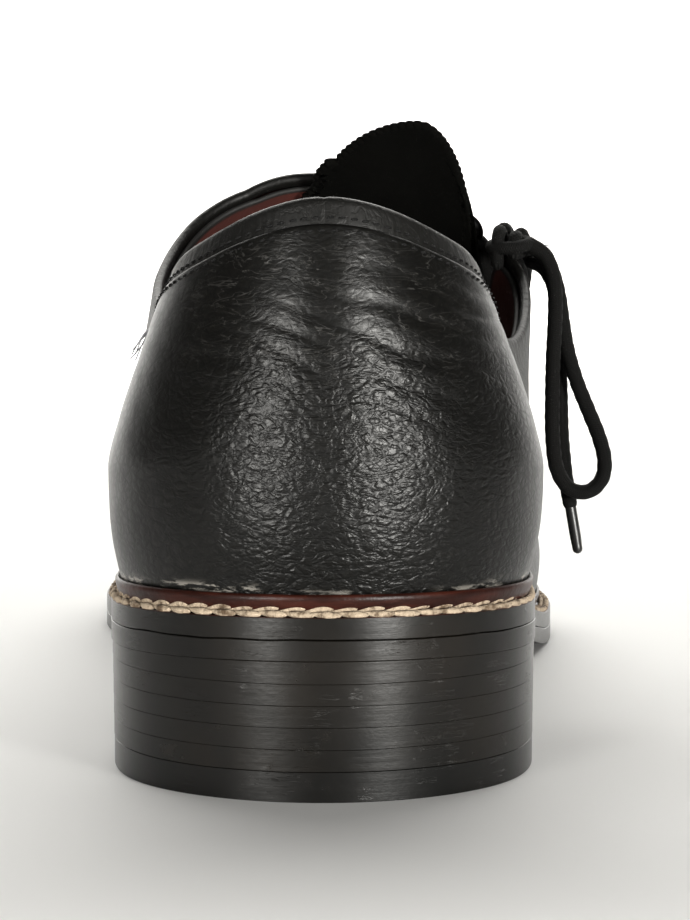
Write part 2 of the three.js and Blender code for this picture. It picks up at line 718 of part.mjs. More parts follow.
const LEATHER = { color: 0x1c1b19, roughness: 0.45, metalness: 0 };
const looks = {
  grain_leather: LEATHER,
  panel_leather: { color: 0x201f1d, roughness: 0.42, metalness: 0 },
  suede: { color: 0x0c0c0b, roughness: 0.95, metalness: 0 },
  welt_leather: { color: 0x3a1a12, roughness: 0.3, metalness: 0 },
  sole_leather: { color: 0x1a1816, roughness: 0.4, metalness: 0 },
  heel_leather: { color: 0x1e1c1a, roughness: 0.38, metalness: 0 },
  heel_rubber: { color: 0x161616, roughness: 0.6, metalness: 0 },
  lining: { color: 0x3a1512, roughness: 0.7, metalness: 0 },
  lace: { color: 0x0d0d0d, roughness: 0.85, metalness: 0 },
  aglet: { color: 0x101010, roughness: 0.3, metalness: 0 },
};

const shoe = new THREE.Group();
function place(name, solid, look) {
  const mesh = new THREE.Mesh(geometryOf(solid), new THREE.MeshStandardMaterial(looks[look]));
  mesh.name = name;
  shoe.add(mesh);
}

for (const [name, solid] of makeHeel()) {
  place(name, solid, name === "top_piece" ? "heel_rubber" : "heel_leather");
}
const fullEdge = (section) => section.edge;
const insoleEdge = (section) => section.feather - WALL - 2 * GAP;
place("outsole", soleLayer(fullEdge, under(TREAD), under(TREAD - OUTSOLE)), "sole_leather");
place(
  "midsole",
  soleLayer((s) => s.edge - 0.1, under(TREAD - OUTSOLE - GAP), under(FLANGE)),
  "sole_leather",
);
place("welt", makeWelt(), "welt_leather");
place("insole", soleLayer(insoleEdge, under(FLANGE - GAP), under(FLANGE - GAP - INSOLE)), "lining");
place("upper", makeUpper(), "grain_leather");
place("heel_panel", makeHeelPanel(), "panel_leather");
place("tongue", makeTongue(), "suede");
place("lace_bars", makeLaceBars(), "lace");
place("lace_knot", makeKnot(), "lace");
for (const [name, route] of Object.entries(ROUTES)) {
  const points = route.map((p) => new THREE.Vector3(...p));
  place(name, tube(points, LACE, ROUTE_STEPS[name]), "lace");
}
place("aglet", makeAglet(ROUTES.lace_end), "aglet");
place("aglet_far", makeAglet(ROUTES.lace_end_far), "aglet");

// The origin lies under the middle of the shoe's box, in which the free lace doesn't count.
const box = new THREE.Box3();
shoe.children
  .filter((mesh) => !mesh.name.startsWith("lace_") && !mesh.name.startsWith("aglet"))
  .forEach((mesh) => box.expandByObject(mesh));
const middle = box.getCenter(new THREE.Vector3());
shoe.position.set(-middle.x, -middle.y, 0);

export default shoe;
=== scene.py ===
"""Right haferl shoe, seen from behind: leather upper, welt, stacked heel, tongue and lace."""

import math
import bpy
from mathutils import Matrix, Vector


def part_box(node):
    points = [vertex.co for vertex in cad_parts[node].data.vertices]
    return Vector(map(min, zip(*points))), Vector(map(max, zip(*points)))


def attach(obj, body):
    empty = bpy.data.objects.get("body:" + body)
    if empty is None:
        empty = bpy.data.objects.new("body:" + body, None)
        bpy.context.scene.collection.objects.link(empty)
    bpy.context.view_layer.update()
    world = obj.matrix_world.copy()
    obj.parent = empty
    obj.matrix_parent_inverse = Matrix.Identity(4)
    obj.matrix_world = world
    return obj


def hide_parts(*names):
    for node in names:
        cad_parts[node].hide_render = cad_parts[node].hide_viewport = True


bl_info = {
    "name": "Haferl Shoe",
    "version": (1, 0, 0),
    "blender": (4, 5, 0),
    "location": "View3D > Sidebar > Haferl Shoe",
    "description": "Builds the leather, welt, sole, tongue, lace and stage of a haferl shoe",
    "category": "Add Mesh",
}

import bpy
import numpy as np
from mathutils import Vector

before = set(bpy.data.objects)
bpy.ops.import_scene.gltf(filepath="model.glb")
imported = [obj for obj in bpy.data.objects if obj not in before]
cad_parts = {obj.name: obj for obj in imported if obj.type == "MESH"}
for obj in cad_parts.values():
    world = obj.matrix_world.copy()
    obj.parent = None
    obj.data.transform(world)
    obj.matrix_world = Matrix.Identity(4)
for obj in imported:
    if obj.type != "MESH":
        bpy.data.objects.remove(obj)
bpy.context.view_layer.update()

# Sizes are in millimetres in the shoemaker's frame: x out to the lateral side from the heel's centre
# line, y forward from the back of the outsole, z up from the floor.
LENGTH = 300.0
WIDTH = 104.0
INSTEP = 104.0
SEAT = 30.0
SEAT_SLOPE = 0.035
SEAT_END = 75.0
TREAD = 7.1
TREAD_START = 184.0
TREAD_END = 212.0
TOE_SPRING = 11.0
GAP = 0.3
WALL = 2.4
QUARTER_STEP = 0.8
PANEL_STEP = 1.3
BAND = 4.3
OUTSOLE = 3.4
FLANGE = 0.9
INSOLE = 2.7
TOP_PIECE = 5.0
LIFTS = 4
LIFT = 3.55
BREAST = 76.0
HEEL_TAPER = 0.4

EYELETS = (105.0, 119.0, 133.0, 147.0)
EYELET_SETBACK = 5.5
SLIT_START = 99.0
SLIT_END = 160.0
SLIT_TOP_WIDTH = 7.0
SLIT_END_WIDTH = 4.0
SLIT_OUT = 34.0
SLIT_SHIFT = 4.5
OUTER_THROAT = 114.0
INNER_THROAT = 108.0

# The tongue lies from its front to its end, whose highest point is a share of the way across, and
# draws back from there by its shoulder.
TONGUE_FRONT = 166.0
TONGUE_END = 85.5
TONGUE_PEAK = 0.37
TONGUE_SHOULDER = 19.0
TONGUE_THICKNESS = 1.6

# Sections through the last from the back of the heel to the toe. along is in % of LENGTH, ridge,
# outer and inner in % of WIDTH, crest in % of INSTEP, turn in degrees, the rest in mm or shares.
SECTION_COLUMNS = (
    "along", "ridge", "turn", "outer", "inner", "inset", "outer_belly", "inner_belly", "rise",
    "crest", "cone", "outer_upright", "inner_upright", "outer_flare", "inner_flare",
    "outer_crown", "inner_crown", "outer_collar", "inner_collar",
)
SECTION_ROWS = np.array([
    (13.3, 0, 0, 38.5, 38.5, 3.6, 3.2, 3.2, 24, 125, 14, 0.4, 0.4, 0, 0, 0.6, 0.6, 97, 97),
    (13.3, 0, 37, 37.7, 37.7, 3.6, 3.3, 2.9, 23.5, 124, 11.5, 0.25, 0.25, 0, 0, 0.3, 0.28, 91.5, 91),
    (14, 0, 74, 36.2, 36.2, 3.5, 3.5, 2.5, 23, 123, 8, 0.15, 0.15, 0, 0, 0.04, 0, 84, 84.5),
    (19.3, 0, 88, 36.2, 35.6, 3.5, 3.5, 2.4, 23, 121, 6, 0.2, 0.12, 0, 0, 0.3, 0.26, 73, 79),
    (27.7, 1.5, 90, 34.6, 34.8, 3.5, 2.5, 1.7, 21, 114, 3, 0.65, 0.5, 5, 0, 1.2, 0.9, 80.5, 84.5),
    (36.3, 2.5, 90, 34.6, 32.9, 3.6, 2.8, 2.3, 20, 100, 0, 0.6, 0.6, 2, 0, 0.72, 0.95, 92, 101),
    (45, -1, 90, 42.3, 30.4, 4, 2.8, 2.7, 17, 85, 0, 0.55, 0.5, 0, 0, 0.7, 0.8, 96, 130),
    (53.7, -5, 90, 52.3, 31.7, 4.8, 2.6, 2.6, 14, 73, 0, 0.5, 0.45, 0, 0, 0.6, 0.65, 130, 130),
    (62, -8.5, 90, 60.2, 35.3, 5.2, 2.5, 2.5, 12.5, 62.5, 0, 0.45, 0.45, 0, 0, 0.52, 0.55, 130, 130),
    (70, -10.1, 91, 61.6, 38.6, 5.4, 2.5, 2.5, 12, 55.5, 0, 0.48, 0.48, 0, 0, 0.52, 0.52, 130, 130),
    (76.3, -9.6, 97, 54.3, 38.8, 5.5, 2.5, 2.5, 12, 51.5, 0, 0.52, 0.52, 0, 0, 0.54, 0.54, 130, 130),
    (80.3, -8.7, 112, 47.1, 39.4, 5.5, 2.5, 2.5, 12, 49.3, 0, 0.55, 0.55, 0, 0, 0.56, 0.56, 130, 130),
    (82.3, -8, 134, 43.6, 40.2, 5.6, 2.5, 2.5, 12.3, 48.4, 0, 0.56, 0.56, 0, 0, 0.58, 0.58, 130, 130),
    (83, -7.7, 158, 46.7, 45.2, 5.8, 2.5, 2.5, 12.5, 48, 0, 0.56, 0.56, 0, 0, 0.58, 0.58, 130, 130),
    (83.3, -7.7, 180, 48.1, 48.1, 5.8, 2.5, 2.5, 12.5, 48, 0, 0.56, 0.56, 0, 0, 0.58, 0.58, 130, 130),
], float)
TOE = len(SECTION_ROWS) - 1
ROUND = 2 * TOE
BELLY_AT = 0.22
LOW_PULL = 0.4
NUDGE = 0.002
HIGHEST_NORMAL = 0.985

# Front edges of the quarters and of the heel panel in the side view, as (y, z).
QUARTER_FRONT = np.array(
    [(122, 0), (125, 28), (134, 44), (150, 58), (165, 66), (172, 75), (174, 140)], float
)
PANEL_FRONT = np.array(
    [(86, 0), (80, 28), (66, 42), (56, 54), (53, 62), (52, 70), (52, 140)], float
)

# The lace's free stretches, from the knot outwards.
LACE_ROUTES = {
    "lace_loop": [
        (41, 95.5, 89.8), (43.5, 95.4, 88), (45, 95.3, 84.8), (45.6, 95.2, 80.5), (45.6, 95.2, 75),
        (45.3, 95.3, 68), (45.2, 95.5, 60), (45.3, 95.8, 53), (46, 96, 47), (47.8, 96.2, 43.2),
        (50.4, 96.4, 41.6), (53.2, 96.6, 42), (55.3, 96.9, 44.4), (55.7, 97.4, 48), (54.6, 98, 52.5),
        (52.6, 98.6, 57.5), (50.4, 99.1, 63), (48.6, 99.4, 69), (47.6, 99.5, 74.5), (46.8, 99.5, 79.8),
        (45.6, 99.2, 84.2), (43.6, 98.9, 87.7), (40.9, 98.4, 90.1),
    ],
    "lace_loop_far": [
        (36, 100.9, 92.9), (36.6, 104.3, 92.8), (37.2, 107.5, 92.2), (37.7, 110.5, 91.6),
        (38, 113.5, 90.8), (38.2, 116.5, 89.8), (38.3, 119.5, 88.4), (38.5, 122.3, 86.4),
        (38.8, 124.3, 83.8), (39.3, 124.7, 80.8), (39.9, 123.4, 78.6), (40.4, 121, 77.9),
        (40.8, 118.3, 79.2), (41, 115.6, 81.4), (41.1, 112.6, 83.8), (41, 109.7, 86.1),
        (40.8, 106.8, 88.2), (40.3, 103.9, 90.5), (39.4, 100.8, 91.9),
    ],
    "lace_end": [
        (41.6, 101.8, 86.6), (43.2, 102.4, 86), (44.5, 102.8, 84.9), (45.5, 103, 83.2), (46.3, 103, 81),
        (46.8, 102.9, 78), (47, 102.8, 75), (47.2, 102.7, 71.5), (47.3, 102.7, 68), (47.4, 102.7, 64.5),
        (47.5, 102.6, 61), (47.6, 102.5, 57.5), (47.7, 102.4, 54), (47.9, 102.3, 50.7),
        (48.2, 102.1, 47.5), (48.5, 102, 44.7), (48.9, 101.8, 42), (49.4, 101.6, 39),
    ],
    "lace_end_far": [
        (36.8, 100.8, 89.3), (37.6, 102.2, 88.3), (38.4, 103.8, 87), (39.2, 105.3, 85.8),
        (39.8, 106.9, 84.4), (40.1, 108.6, 83), (40.2, 110.4, 81.6), (40.2, 112.2, 80.2),
        (40.2, 114, 78.8), (40.2, 115.8, 77.5), (40.2, 117.6, 76.2), (40.2, 119.3, 75),
        (40.2, 121, 73.8), (40.2, 122.5, 72.7), (40.2, 124, 71.6), (40.2, 125, 70.8),
    ],
}
TIP_LENGTH = 9.0

# The knot's middle, and its turns of lace counted from there.
KNOT = (36.8, 96.6, 91.7)
KNOT_TURNS = (
    (
        (-2.5, -1.6, -5.5), (-2.5, -1.7, -2.4), (-2.3, -1.3, 0.0), (-1.9, 0.0, 0.9),
        (-1.5, 1.3, 0.0), (-1.3, 1.7, -2.4), (-1.2, 1.6, -5.0),
    ),
    (
        (0.8, -1.5, -3.6), (0.8, -1.6, -1.9), (1.0, -1.2, -0.6), (1.3, 0.0, -0.2),
        (1.6, 1.3, -0.6), (1.9, 1.7, -1.9), (2.2, 1.8, -3.2),
    ),
    (
        (-3.2, 1.6, -1.9), (-3.4, -0.6, -2.3), (-1.6, -2.6, -2.5), (1.0, -3.0, -2.3),
        (3.2, -1.8, -1.8), (3.8, 0.4, -1.5), (3.0, 2.4, -1.2),
    ),
)

# The heel panel ends this far below the collar band and behind its drawn front.
PANEL_DROP = BAND + 0.8
PANEL_BACK = 0.8

# Outline of the welt's lip, as height over the welt's top and distance off the upper.
WELT_LIP = (
    (-0.4, 0.0), (1.2, 0.0), (2.6, 0.0), (3.5, 0.05), (3.95, 0.3),
    (4.0, 0.6), (3.7, 0.9), (3.1, 1.05), (2.2, 1.0), (1.2, 0.95),
)

# A stitch of the upper: width and height in mm, its share of the distance between two, its slant.
STITCH_WIDTH = 0.42
STITCH_HEIGHT = 0.3
STITCH_SHARE = 0.72
STITCH_SLANT = 0.12

# Loose thread ends, as (start, stop, strands).
THREAD_TAILS = (
    ((-29.9, 55.0, 75.7), (-33.8, 55.0, 70.4), 6),
    ((40.2, 96.0, 88.9), (44.4, 96.0, 89.7), 3),
)

# The camera's place in mm, its turn to the side and down in degrees, and its focal length in
# heights of the picture.
CAMERA = (-3.7, -412.0, 86.5)
CAMERA_TURN = -0.95
CAMERA_DOWN = 4.34
FOCAL_LENGTH = 2605.0 / 920.0
LIGHT_COLOUR = (1.0, 0.985, 0.94)
WORLD_STRENGTH = 0.12

# Lights as (name, place, aim, size, power), in metres and watts.
LIGHTS = (
    ("left_light", (-0.66, -1.17, 0.1), (0, -0.1, 0.05), (0.28, 0.19), 12.0),
    ("right_light", (0.68, -1.15, 0.1), (0, -0.1, 0.05), (0.28, 0.19), 21.0),
    ("backdrop_light", (0.0, 1.8, 2.0), (0, 2.6, 0), (3.4, 1.6), 150.0),
)


def smoothstep(x, low, high):
    """Rises from 0 at low to 1 at high with level ends."""
    t = np.clip((np.asarray(x, float) - low) / (high - low), 0, 1)
    return t * t * (3 - 2 * t)


def lerp(a, b, t):
    """a where t is 0, b where it is 1, in a straight line between."""
    return a + (b - a) * t


def unit(v):
    """The same direction with a length of 1."""
    return v / np.maximum(np.linalg.norm(v, axis=-1, keepdims=True), 1e-12)


def distances(curve):
    """Length of a curve from its first point to each of its points."""
    return np.concatenate([[0], np.cumsum(np.linalg.norm(np.diff(curve, axis=0), axis=1))])


def closed_spline(values):
    """Curve of third order through evenly spaced values that closes on itself."""
    values = np.asarray(values, float)
    bend = np.zeros_like(values)
    for _ in range(60):
        change = np.roll(values, -1) - 2 * values + np.roll(values, 1)
        bend = (6 * change - np.roll(bend, -1) - np.roll(bend, 1)) / 4

    def at(place):
        whole = np.floor(place)
        right = place - whole
        left = 1 - right
        a = whole.astype(int) % len(values)
        b = (a + 1) % len(values)
        level = values[a] * left + values[b] * right
        return level + ((left**3 - left) * bend[a] + (right**3 - right) * bend[b]) / 6

    return at


def column(outer, inner=None):
    """One column of the sections' table as a closed curve: the lateral half by the first name, and
    back along the medial side by the second."""
    out = SECTION_ROWS[:, SECTION_COLUMNS.index(outer)]
    back = SECTION_ROWS[:, SECTION_COLUMNS.index(inner or outer)]
    return closed_spline(np.concatenate([out, back[1:-1][::-1]]))


along = column("along")
ridge = column("ridge")
reach_of = column("outer", "inner")
inset_of = column("inset")
belly_of = column("outer_belly", "inner_belly")
rise_of = column("rise")
crest_of = column("crest")
cone_of = column("cone")
upright_of = column("outer_upright", "inner_upright")
flare_of = column("outer_flare", "inner_flare")
crown_of = column("outer_crown", "inner_crown")
collar_height = column("outer_collar", "inner_collar")
_turn = SECTION_ROWS[:, SECTION_COLUMNS.index("turn")]
uneven_turn = closed_spline(
    np.concatenate([_turn, 360 - _turn[1:-1][::-1]]) - np.arange(ROUND) * 360 / ROUND
)


def sole_top(y):
    """Height of the top of the welt: a slope under the heel, an arch as a curve of third order, a
    level tread and a toe that rises by the square of the distance."""
    y = np.asarray(y, float)
    slope, end, start, level = SEAT_SLOPE, SEAT_END, TREAD_START, TREAD_END
    t = (y - end) / (start - end)
    high = SEAT - slope * end
    ease = 2 * t**3 - 3 * t**2
    arch = high * (1 + ease) - slope * (start - end) * (t**3 - 2 * t**2 + t) - TREAD * ease
    toe = TREAD + TOE_SPRING * ((y - level) / (LENGTH - level)) ** 2
    return np.where(
        y < end, SEAT - slope * y, np.where(y < start, arch, np.where(y < level, TREAD, toe))
    )


def section(place):
    """Everything that one section states."""
    place = np.asarray(place, float)
    angle = np.radians(place * 360 / ROUND + uneven_turn(place))
    s = {
        "x": ridge(place) * WIDTH / 100,
        "y": along(place) * LENGTH / 100,
        "out_x": np.sin(angle),
        "out_y": -np.cos(angle),
        "edge": reach_of(place) * WIDTH / 100,
        "crest": crest_of(place) * INSTEP / 100,
        "cone": np.maximum(0, cone_of(place)),
    }
    s["feather"] = s["edge"] - inset_of(place)
    s["foot"] = sole_top(s["y"] + s["out_y"] * s["feather"]) - FLANGE + GAP
    s["belly"] = s["feather"] + belly_of(place)
    s["belly_height"] = s["foot"] + rise_of(place)
    s["straight_to"] = s["belly_height"] + upright_of(place) * (s["crest"] - s["belly_height"])
    s["lean_to"] = s["belly"] + flare_of(place)
    s["flat_to"] = s["cone"] + crown_of(place) * (s["belly"] - s["cone"])
    return s


def in_section(s, out, height):
    """Point of a section at a reach from its middle and at a height."""
    x, y = s["x"] + s["out_x"] * out, s["y"] + s["out_y"] * out
    return np.stack(np.broadcast_arrays(x, y, height), -1)


def wall_reach_height(s, up):
    """Reach and height of the wall: a curve of second order up to the belly and one of third order
    from there to the crest."""
    t = up / BELLY_AT
    q = 1 - t
    pull = s["foot"] + LOW_PULL * (s["belly_height"] - s["foot"])
    low_reach = q * q * s["feather"] + (1 - q * q) * s["belly"]
    low_height = q * q * s["foot"] + 2 * q * t * pull + t * t * s["belly_height"]
    t = (up - BELLY_AT) / (1 - BELLY_AT)
    q = 1 - t
    a, b, c, d = q**3, 3 * q * q * t, 3 * q * t * t, t**3
    high_reach = a * s["belly"] + b * s["lean_to"] + c * s["flat_to"] + d * s["cone"]
    high_height = a * s["belly_height"] + b * s["straight_to"] + (c + d) * s["crest"]
    under = up < BELLY_AT
    return np.where(under, low_reach, high_reach), np.where(under, low_height, high_height)


def wall(place, up):
    """Point of the last's surface at a section and a share of the way up its wall."""
    s = section(place)
    return in_section(s, *wall_reach_height(s, np.asarray(up, float)))


def wall_normal(place, up):
    """Outward direction from differences, taken a little under the crest at the top."""
    up = np.clip(up, NUDGE, HIGHEST_NORMAL)
    forward = wall(place + NUDGE, up) - wall(place - NUDGE, up)
    upward = wall(place, up + NUDGE) - wall(place, up - NUDGE)
    return unit(np.cross(forward, upward))


def solve(rising, low, high, steps=26):
    """Where a rising function of an array passes zero, by halving."""
    low = np.array(low, float)
    high = np.array(high, float)
    low, high = np.broadcast_arrays(low, high)
    for _ in range(steps):
        middle = (low + high) / 2
        under = rising(middle) < 0
        low = np.where(under, middle, low)
        high = np.where(under, high, middle)
    return (low + high) / 2


def up_at_height(place, z):
    """How far up the wall a height is reached."""
    s = section(place)
    return solve(lambda up: wall_reach_height(s, up)[1] - z, np.zeros_like(s["x"]), 1.0)


def place_along(y):
    """Section on the lateral side whose middle lies at y."""
    y = np.asarray(y, float)
    return solve(lambda p: along(p) * LENGTH / 100 - y, np.full_like(y, 3.0), 10.0)


def arch(q, turn):
    """Point and outward direction on the arch at section q, from 0 at the lateral feather edge over
    the crest at 1 to 2 at the medial one. A q below 0 goes on round the back of the heel."""
    q, turn = np.broadcast_arrays(np.asarray(q, float), np.asarray(turn, float))
    lateral = turn <= 1
    place = np.where(lateral, q, ROUND - q)
    up = np.where(lateral, turn, 2 - turn)
    here = wall_normal(place, up)
    over = wall_normal(ROUND - place, up)
    share = (0.5 * smoothstep(up, 0.96, 1))[..., None]
    return wall(place, up), unit(here * (1 - share) + over * share)


def turn_across(y, across):
    """How far round the arch a point lies that is so far across the instep from the middle of the
    lacing slit, by steps of equal length along the arch."""
    y, across = np.broadcast_arrays(np.asarray(y, float), np.asarray(across, float))
    q = place_along(y)
    s = section(q)
    goal = SLIT_OUT - SLIT_SHIFT * smoothstep(y, 99, 125) - s["x"]
    turn = solve(lambda up: goal - wall_reach_height(s, up)[0], np.full_like(y, BELLY_AT), 1.0)
    steps = 16
    for _ in range(steps):
        ahead = arch(q, turn + NUDGE)[0] - arch(q, turn - NUDGE)[0]
        turn = turn + across / steps / (np.linalg.norm(ahead, axis=-1) / (2 * NUDGE))
    return turn


def slit_half(y):
    """Half the width of the lacing slit, which narrows evenly to the front."""
    share = (np.asarray(y, float) - SLIT_START) / (SLIT_END - SLIT_START)
    return lerp(SLIT_TOP_WIDTH, SLIT_END_WIDTH, share) / 2


def softened(outline, width=4.0):
    """y for any height z of a side view's edge whose corners are rounded by a moving average."""
    z = np.arange(-20.0, 150.0, 0.5)
    y = np.interp(z, outline[:, 1], outline[:, 0])
    spread = np.exp(-0.5 * (np.arange(-40, 41) * 0.5 / width) ** 2)
    padded = np.pad(y, 40, mode="edge")
    y = np.convolve(padded, spread / spread.sum(), "valid")
    return lambda height: np.interp(height, z, y)


def edge_over(outline, turn, back=0.0, low=0.3, high=11.0):
    """Section at which the arch meets a side view's edge, moved back by a distance, for each turn."""
    edge = softened(outline)

    def ahead(q):
        p = arch(q, turn)[0]
        tilt = edge(p[..., 2] + 0.5) - edge(p[..., 2] - 0.5)
        return p[..., 1] - (edge(p[..., 2]) - back * np.sqrt(1 + tilt**2))

    return solve(ahead, np.full(np.shape(turn), low), high)


SHIFT = np.zeros(3)


def place_frame():
    """Sets the step from the shoemaker's frame to the row frame, from the outsole's own corner."""
    t = np.linspace(0, 1, 37)
    places = TOE * (t - 0.45 * np.sin(2 * np.pi * t) / (2 * np.pi))
    s = section(np.concatenate([places, ROUND - places]))
    rim = in_section(s, s["edge"], 0.0)
    low, high = (np.array(v) * 1000 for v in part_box("outsole"))
    middle = (rim.min(0) + rim.max(0)) / 2 - (low + high) / 2
    SHIFT[:2] = middle[:2]


place_frame()


def metres(points):
    """Millimetres in the shoemaker's frame as metres in the row frame."""
    return (np.asarray(points, float) - SHIFT) / 1000


def lumps(points, size, seed):
    """Smooth noise from -1 to 1: random values on a lattice of that cell size, blended between
    their eight neighbours by a smooth step."""
    table = np.random.default_rng(seed).uniform(-1, 1, (32, 32, 32))
    at = np.asarray(points, float) / size + 100
    cell = np.floor(at).astype(int)
    t = at - cell
    t = t * t * (3 - 2 * t)
    total = np.zeros(at.shape[:-1])
    for corner in np.ndindex(2, 2, 2):
        i, j, k = ((cell[..., a] + corner[a]) % 32 for a in range(3))
        share = np.prod([t[..., a] if corner[a] else 1 - t[..., a] for a in range(3)], axis=0)
        total += table[i, j, k] * share
    return total


def coons(bottom, top, left, right):
    """Fills four boundary curves of a plane: the two ruled surfaces between opposite sides, less the
    one through the four corners. bottom and top run from left to right, the sides upwards."""
    u = np.linspace(0, 1, len(bottom))[:, None, None]
    v = np.linspace(0, 1, len(left))[None, :, None]
    ruled = (1 - v) * bottom[:, None] + v * top[:, None]
    across = (1 - u) * left[None] + u * right[None]
    corners = (1 - u) * ((1 - v) * left[0] + v * left[-1]) + u * ((1 - v) * right[0] + v * right[-1])
    return ruled + across - corners


def evenly(curve, count, weight=None):
    """The same curve with points at equal steps of the length of weight(curve)."""
    curve = np.asarray(curve, float)
    real = curve if weight is None else weight(curve)
    run = distances(real)
    goal = np.linspace(0, run[-1], count)
    return np.stack([np.interp(goal, run, curve[:, k]) for k in range(curve.shape[1])], -1)


def through(points, step):
    """Smooth curve through points with a point at every step of its length: a curve of third order
    between each two, whose slopes at a point come from its two neighbours."""
    p = np.asarray(points, float)
    before = np.vstack([2 * p[0] - p[1], p[:-1]])
    after = np.vstack([p[1:], 2 * p[-1] - p[-2]])
    slope = (after - before) / 2
    t = np.linspace(0, 1, 24, endpoint=False)[None, :, None]
    a, b, m, n = (v[:, None] for v in (p[:-1], p[1:], slope[:-1], slope[1:]))
    h = (2 * t**3 - 3 * t**2 + 1) * a + (t**3 - 2 * t**2 + t) * m
    h = h + (3 * t**2 - 2 * t**3) * b + (t**3 - t**2) * n
    dense = np.vstack([h.reshape(-1, 3), p[-1:]])
    return evenly(dense, max(3, int(round(distances(dense)[-1] / step)) + 1))


class Shape:
    """Points in millimetres with faces of four corners, and one value per point for each field."""

    def __init__(self, points, quads, fields=None, uv=None):
        self.points = points.reshape(-1, 3)
        self.quads = quads.reshape(-1, 4)
        size = len(self.points)
        self.fields = {k: np.broadcast_to(v, size).astype(float) for k, v in (fields or {}).items()}
        self.uv = uv

    def __add__(self, other):
        fields = {k: np.concatenate([v, other.fields[k]]) for k, v in self.fields.items()}
        quads = np.concatenate([self.quads, other.quads + len(self.points)])
        uv = None if self.uv is None else np.concatenate([self.uv, other.uv])
        return Shape(np.concatenate([self.points, other.points]), quads, fields, uv)

    def welded(self):
        """Points in one place become one, and faces that shrink to a line go."""
        _, first, back = np.unique(
            np.round(self.points, 4), axis=0, return_index=True, return_inverse=True
        )
        quads = back.ravel()[self.quads]
        corners = np.sort(quads, axis=1)
        distinct = (np.diff(corners, axis=1) != 0).sum(axis=1) + 1
        uv = None if self.uv is None else self.uv[first]
        fields = {k: v[first] for k, v in self.fields.items()}
        return Shape(self.points[first], quads[distinct >= 3], fields, uv)

    def volume(self):
        a, b, c, d = (self.points[self.quads[:, k]] for k in range(4))
        return ((a * np.cross(b, c)).sum() + (a * np.cross(c, d)).sum()) / 6


def joined(shapes):
    """Several shapes as one, each welded by itself."""
    whole, *others = (shape.welded() for shape in shapes)
    for shape in others:
        whole = whole + shape
    return whole


def grid_quads(rows, columns, close_rows=False, close_columns=False):
    """Corners of a grid's faces, whose last row or column may join its first."""
    i = np.arange(rows if close_rows else rows - 1)[:, None]
    j = np.arange(columns if close_columns else columns - 1)[None, :]
    k, l = (i + 1) % rows, (j + 1) % columns
    at = lambda a, b: np.broadcast_to(a * columns + b, (len(i), j.shape[1]))
    return np.stack([at(i, j), at(k, j), at(k, l), at(i, l)], -1).reshape(-1, 4)


def leather_sheet(points, normals, high, low, fields=None, keep=None, rim_steps=5):
    """A sheet of leather with rounded edges: its points moved out along the normals by high for one
    face and by low for the other, joined along every open edge by half rounds. keep is true for
    each face of the grid that stays."""
    grid = points.shape[:2]
    faces = grid_quads(*grid)
    if keep is not None:
        faces = faces[keep.reshape(-1)]
    values = {"_nx": normals[..., 0], "_ny": normals[..., 1], "_nz": normals[..., 2], "_h": high, "_l": low}
    values = {k: np.broadcast_to(v, grid).ravel() for k, v in {**(fields or {}), **values}.items()}
    base = Shape(points, faces, values).welded()
    p, quads = base.points, base.quads
    n = unit(np.stack([base.fields.pop(k) for k in ("_nx", "_ny", "_nz")], -1))
    h, l = base.fields.pop("_h"), base.fields.pop("_l")
    a, b, c, d = (p[quads[:, k]] for k in range(4))
    if (np.cross(c - a, d - b) * n[quads[:, 0]]).sum() < 0:
        quads = quads[:, ::-1]
    start = quads.ravel()
    stop = np.roll(quads, -1, axis=1).ravel()
    real = start != stop
    start, stop = start[real], stop[real]
    size = len(p)
    open_edge = ~np.isin(start * size + stop, stop * size + start)
    start, stop = start[open_edge], stop[open_edge]
    side = unit(np.cross(p[stop] - p[start], n[start]))
    out = np.zeros_like(p)
    np.add.at(out, start, side)
    np.add.at(out, stop, side)
    out = unit(out)
    rim = np.unique(np.concatenate([start, stop]))
    order = np.full(size, -1)
    order[rim] = np.arange(len(rim))
    half = (h - l) / 2
    middle = (h + l) / 2
    angle = np.pi * np.arange(1, rim_steps) / rim_steps
    rings = [
        p[rim] + n[rim] * (middle + half * math.cos(t))[rim, None]
        + out[rim] * (half[rim, None] * math.sin(t))
        for t in angle
    ]
    on_rings = [
        np.where(order >= 0, 2 * size + k * len(rim) + order, 0) for k in range(len(rings))
    ]
    ids = [np.arange(size), *on_rings, np.arange(size) + size]
    faces = [quads, quads[:, ::-1] + size]
    for near, far in zip(ids, ids[1:]):
        faces.append(np.stack([near[stop], near[start], far[start], far[stop]], -1))
    inner = {k: np.concatenate([v, v] + [v[rim]] * len(rings)) for k, v in base.fields.items()}
    return Shape(
        np.concatenate([p + n * h[:, None], p + n * l[:, None], *rings]), np.concatenate(faces), inner
    )


def frames_along(path):
    """Forward, side and up directions along a path, turned as little as possible from point to
    point."""
    ahead = unit(np.gradient(path, axis=0))
    side = unit(np.cross(ahead[0], np.eye(3)[np.argmin(np.abs(ahead[0]))]))
    sides = [side]
    for way in ahead[1:]:
        side = side - way * (side @ way)
        side = side / np.linalg.norm(side)
        sides.append(side)
    sides = np.array(sides)
    return ahead, sides, np.cross(ahead, sides)


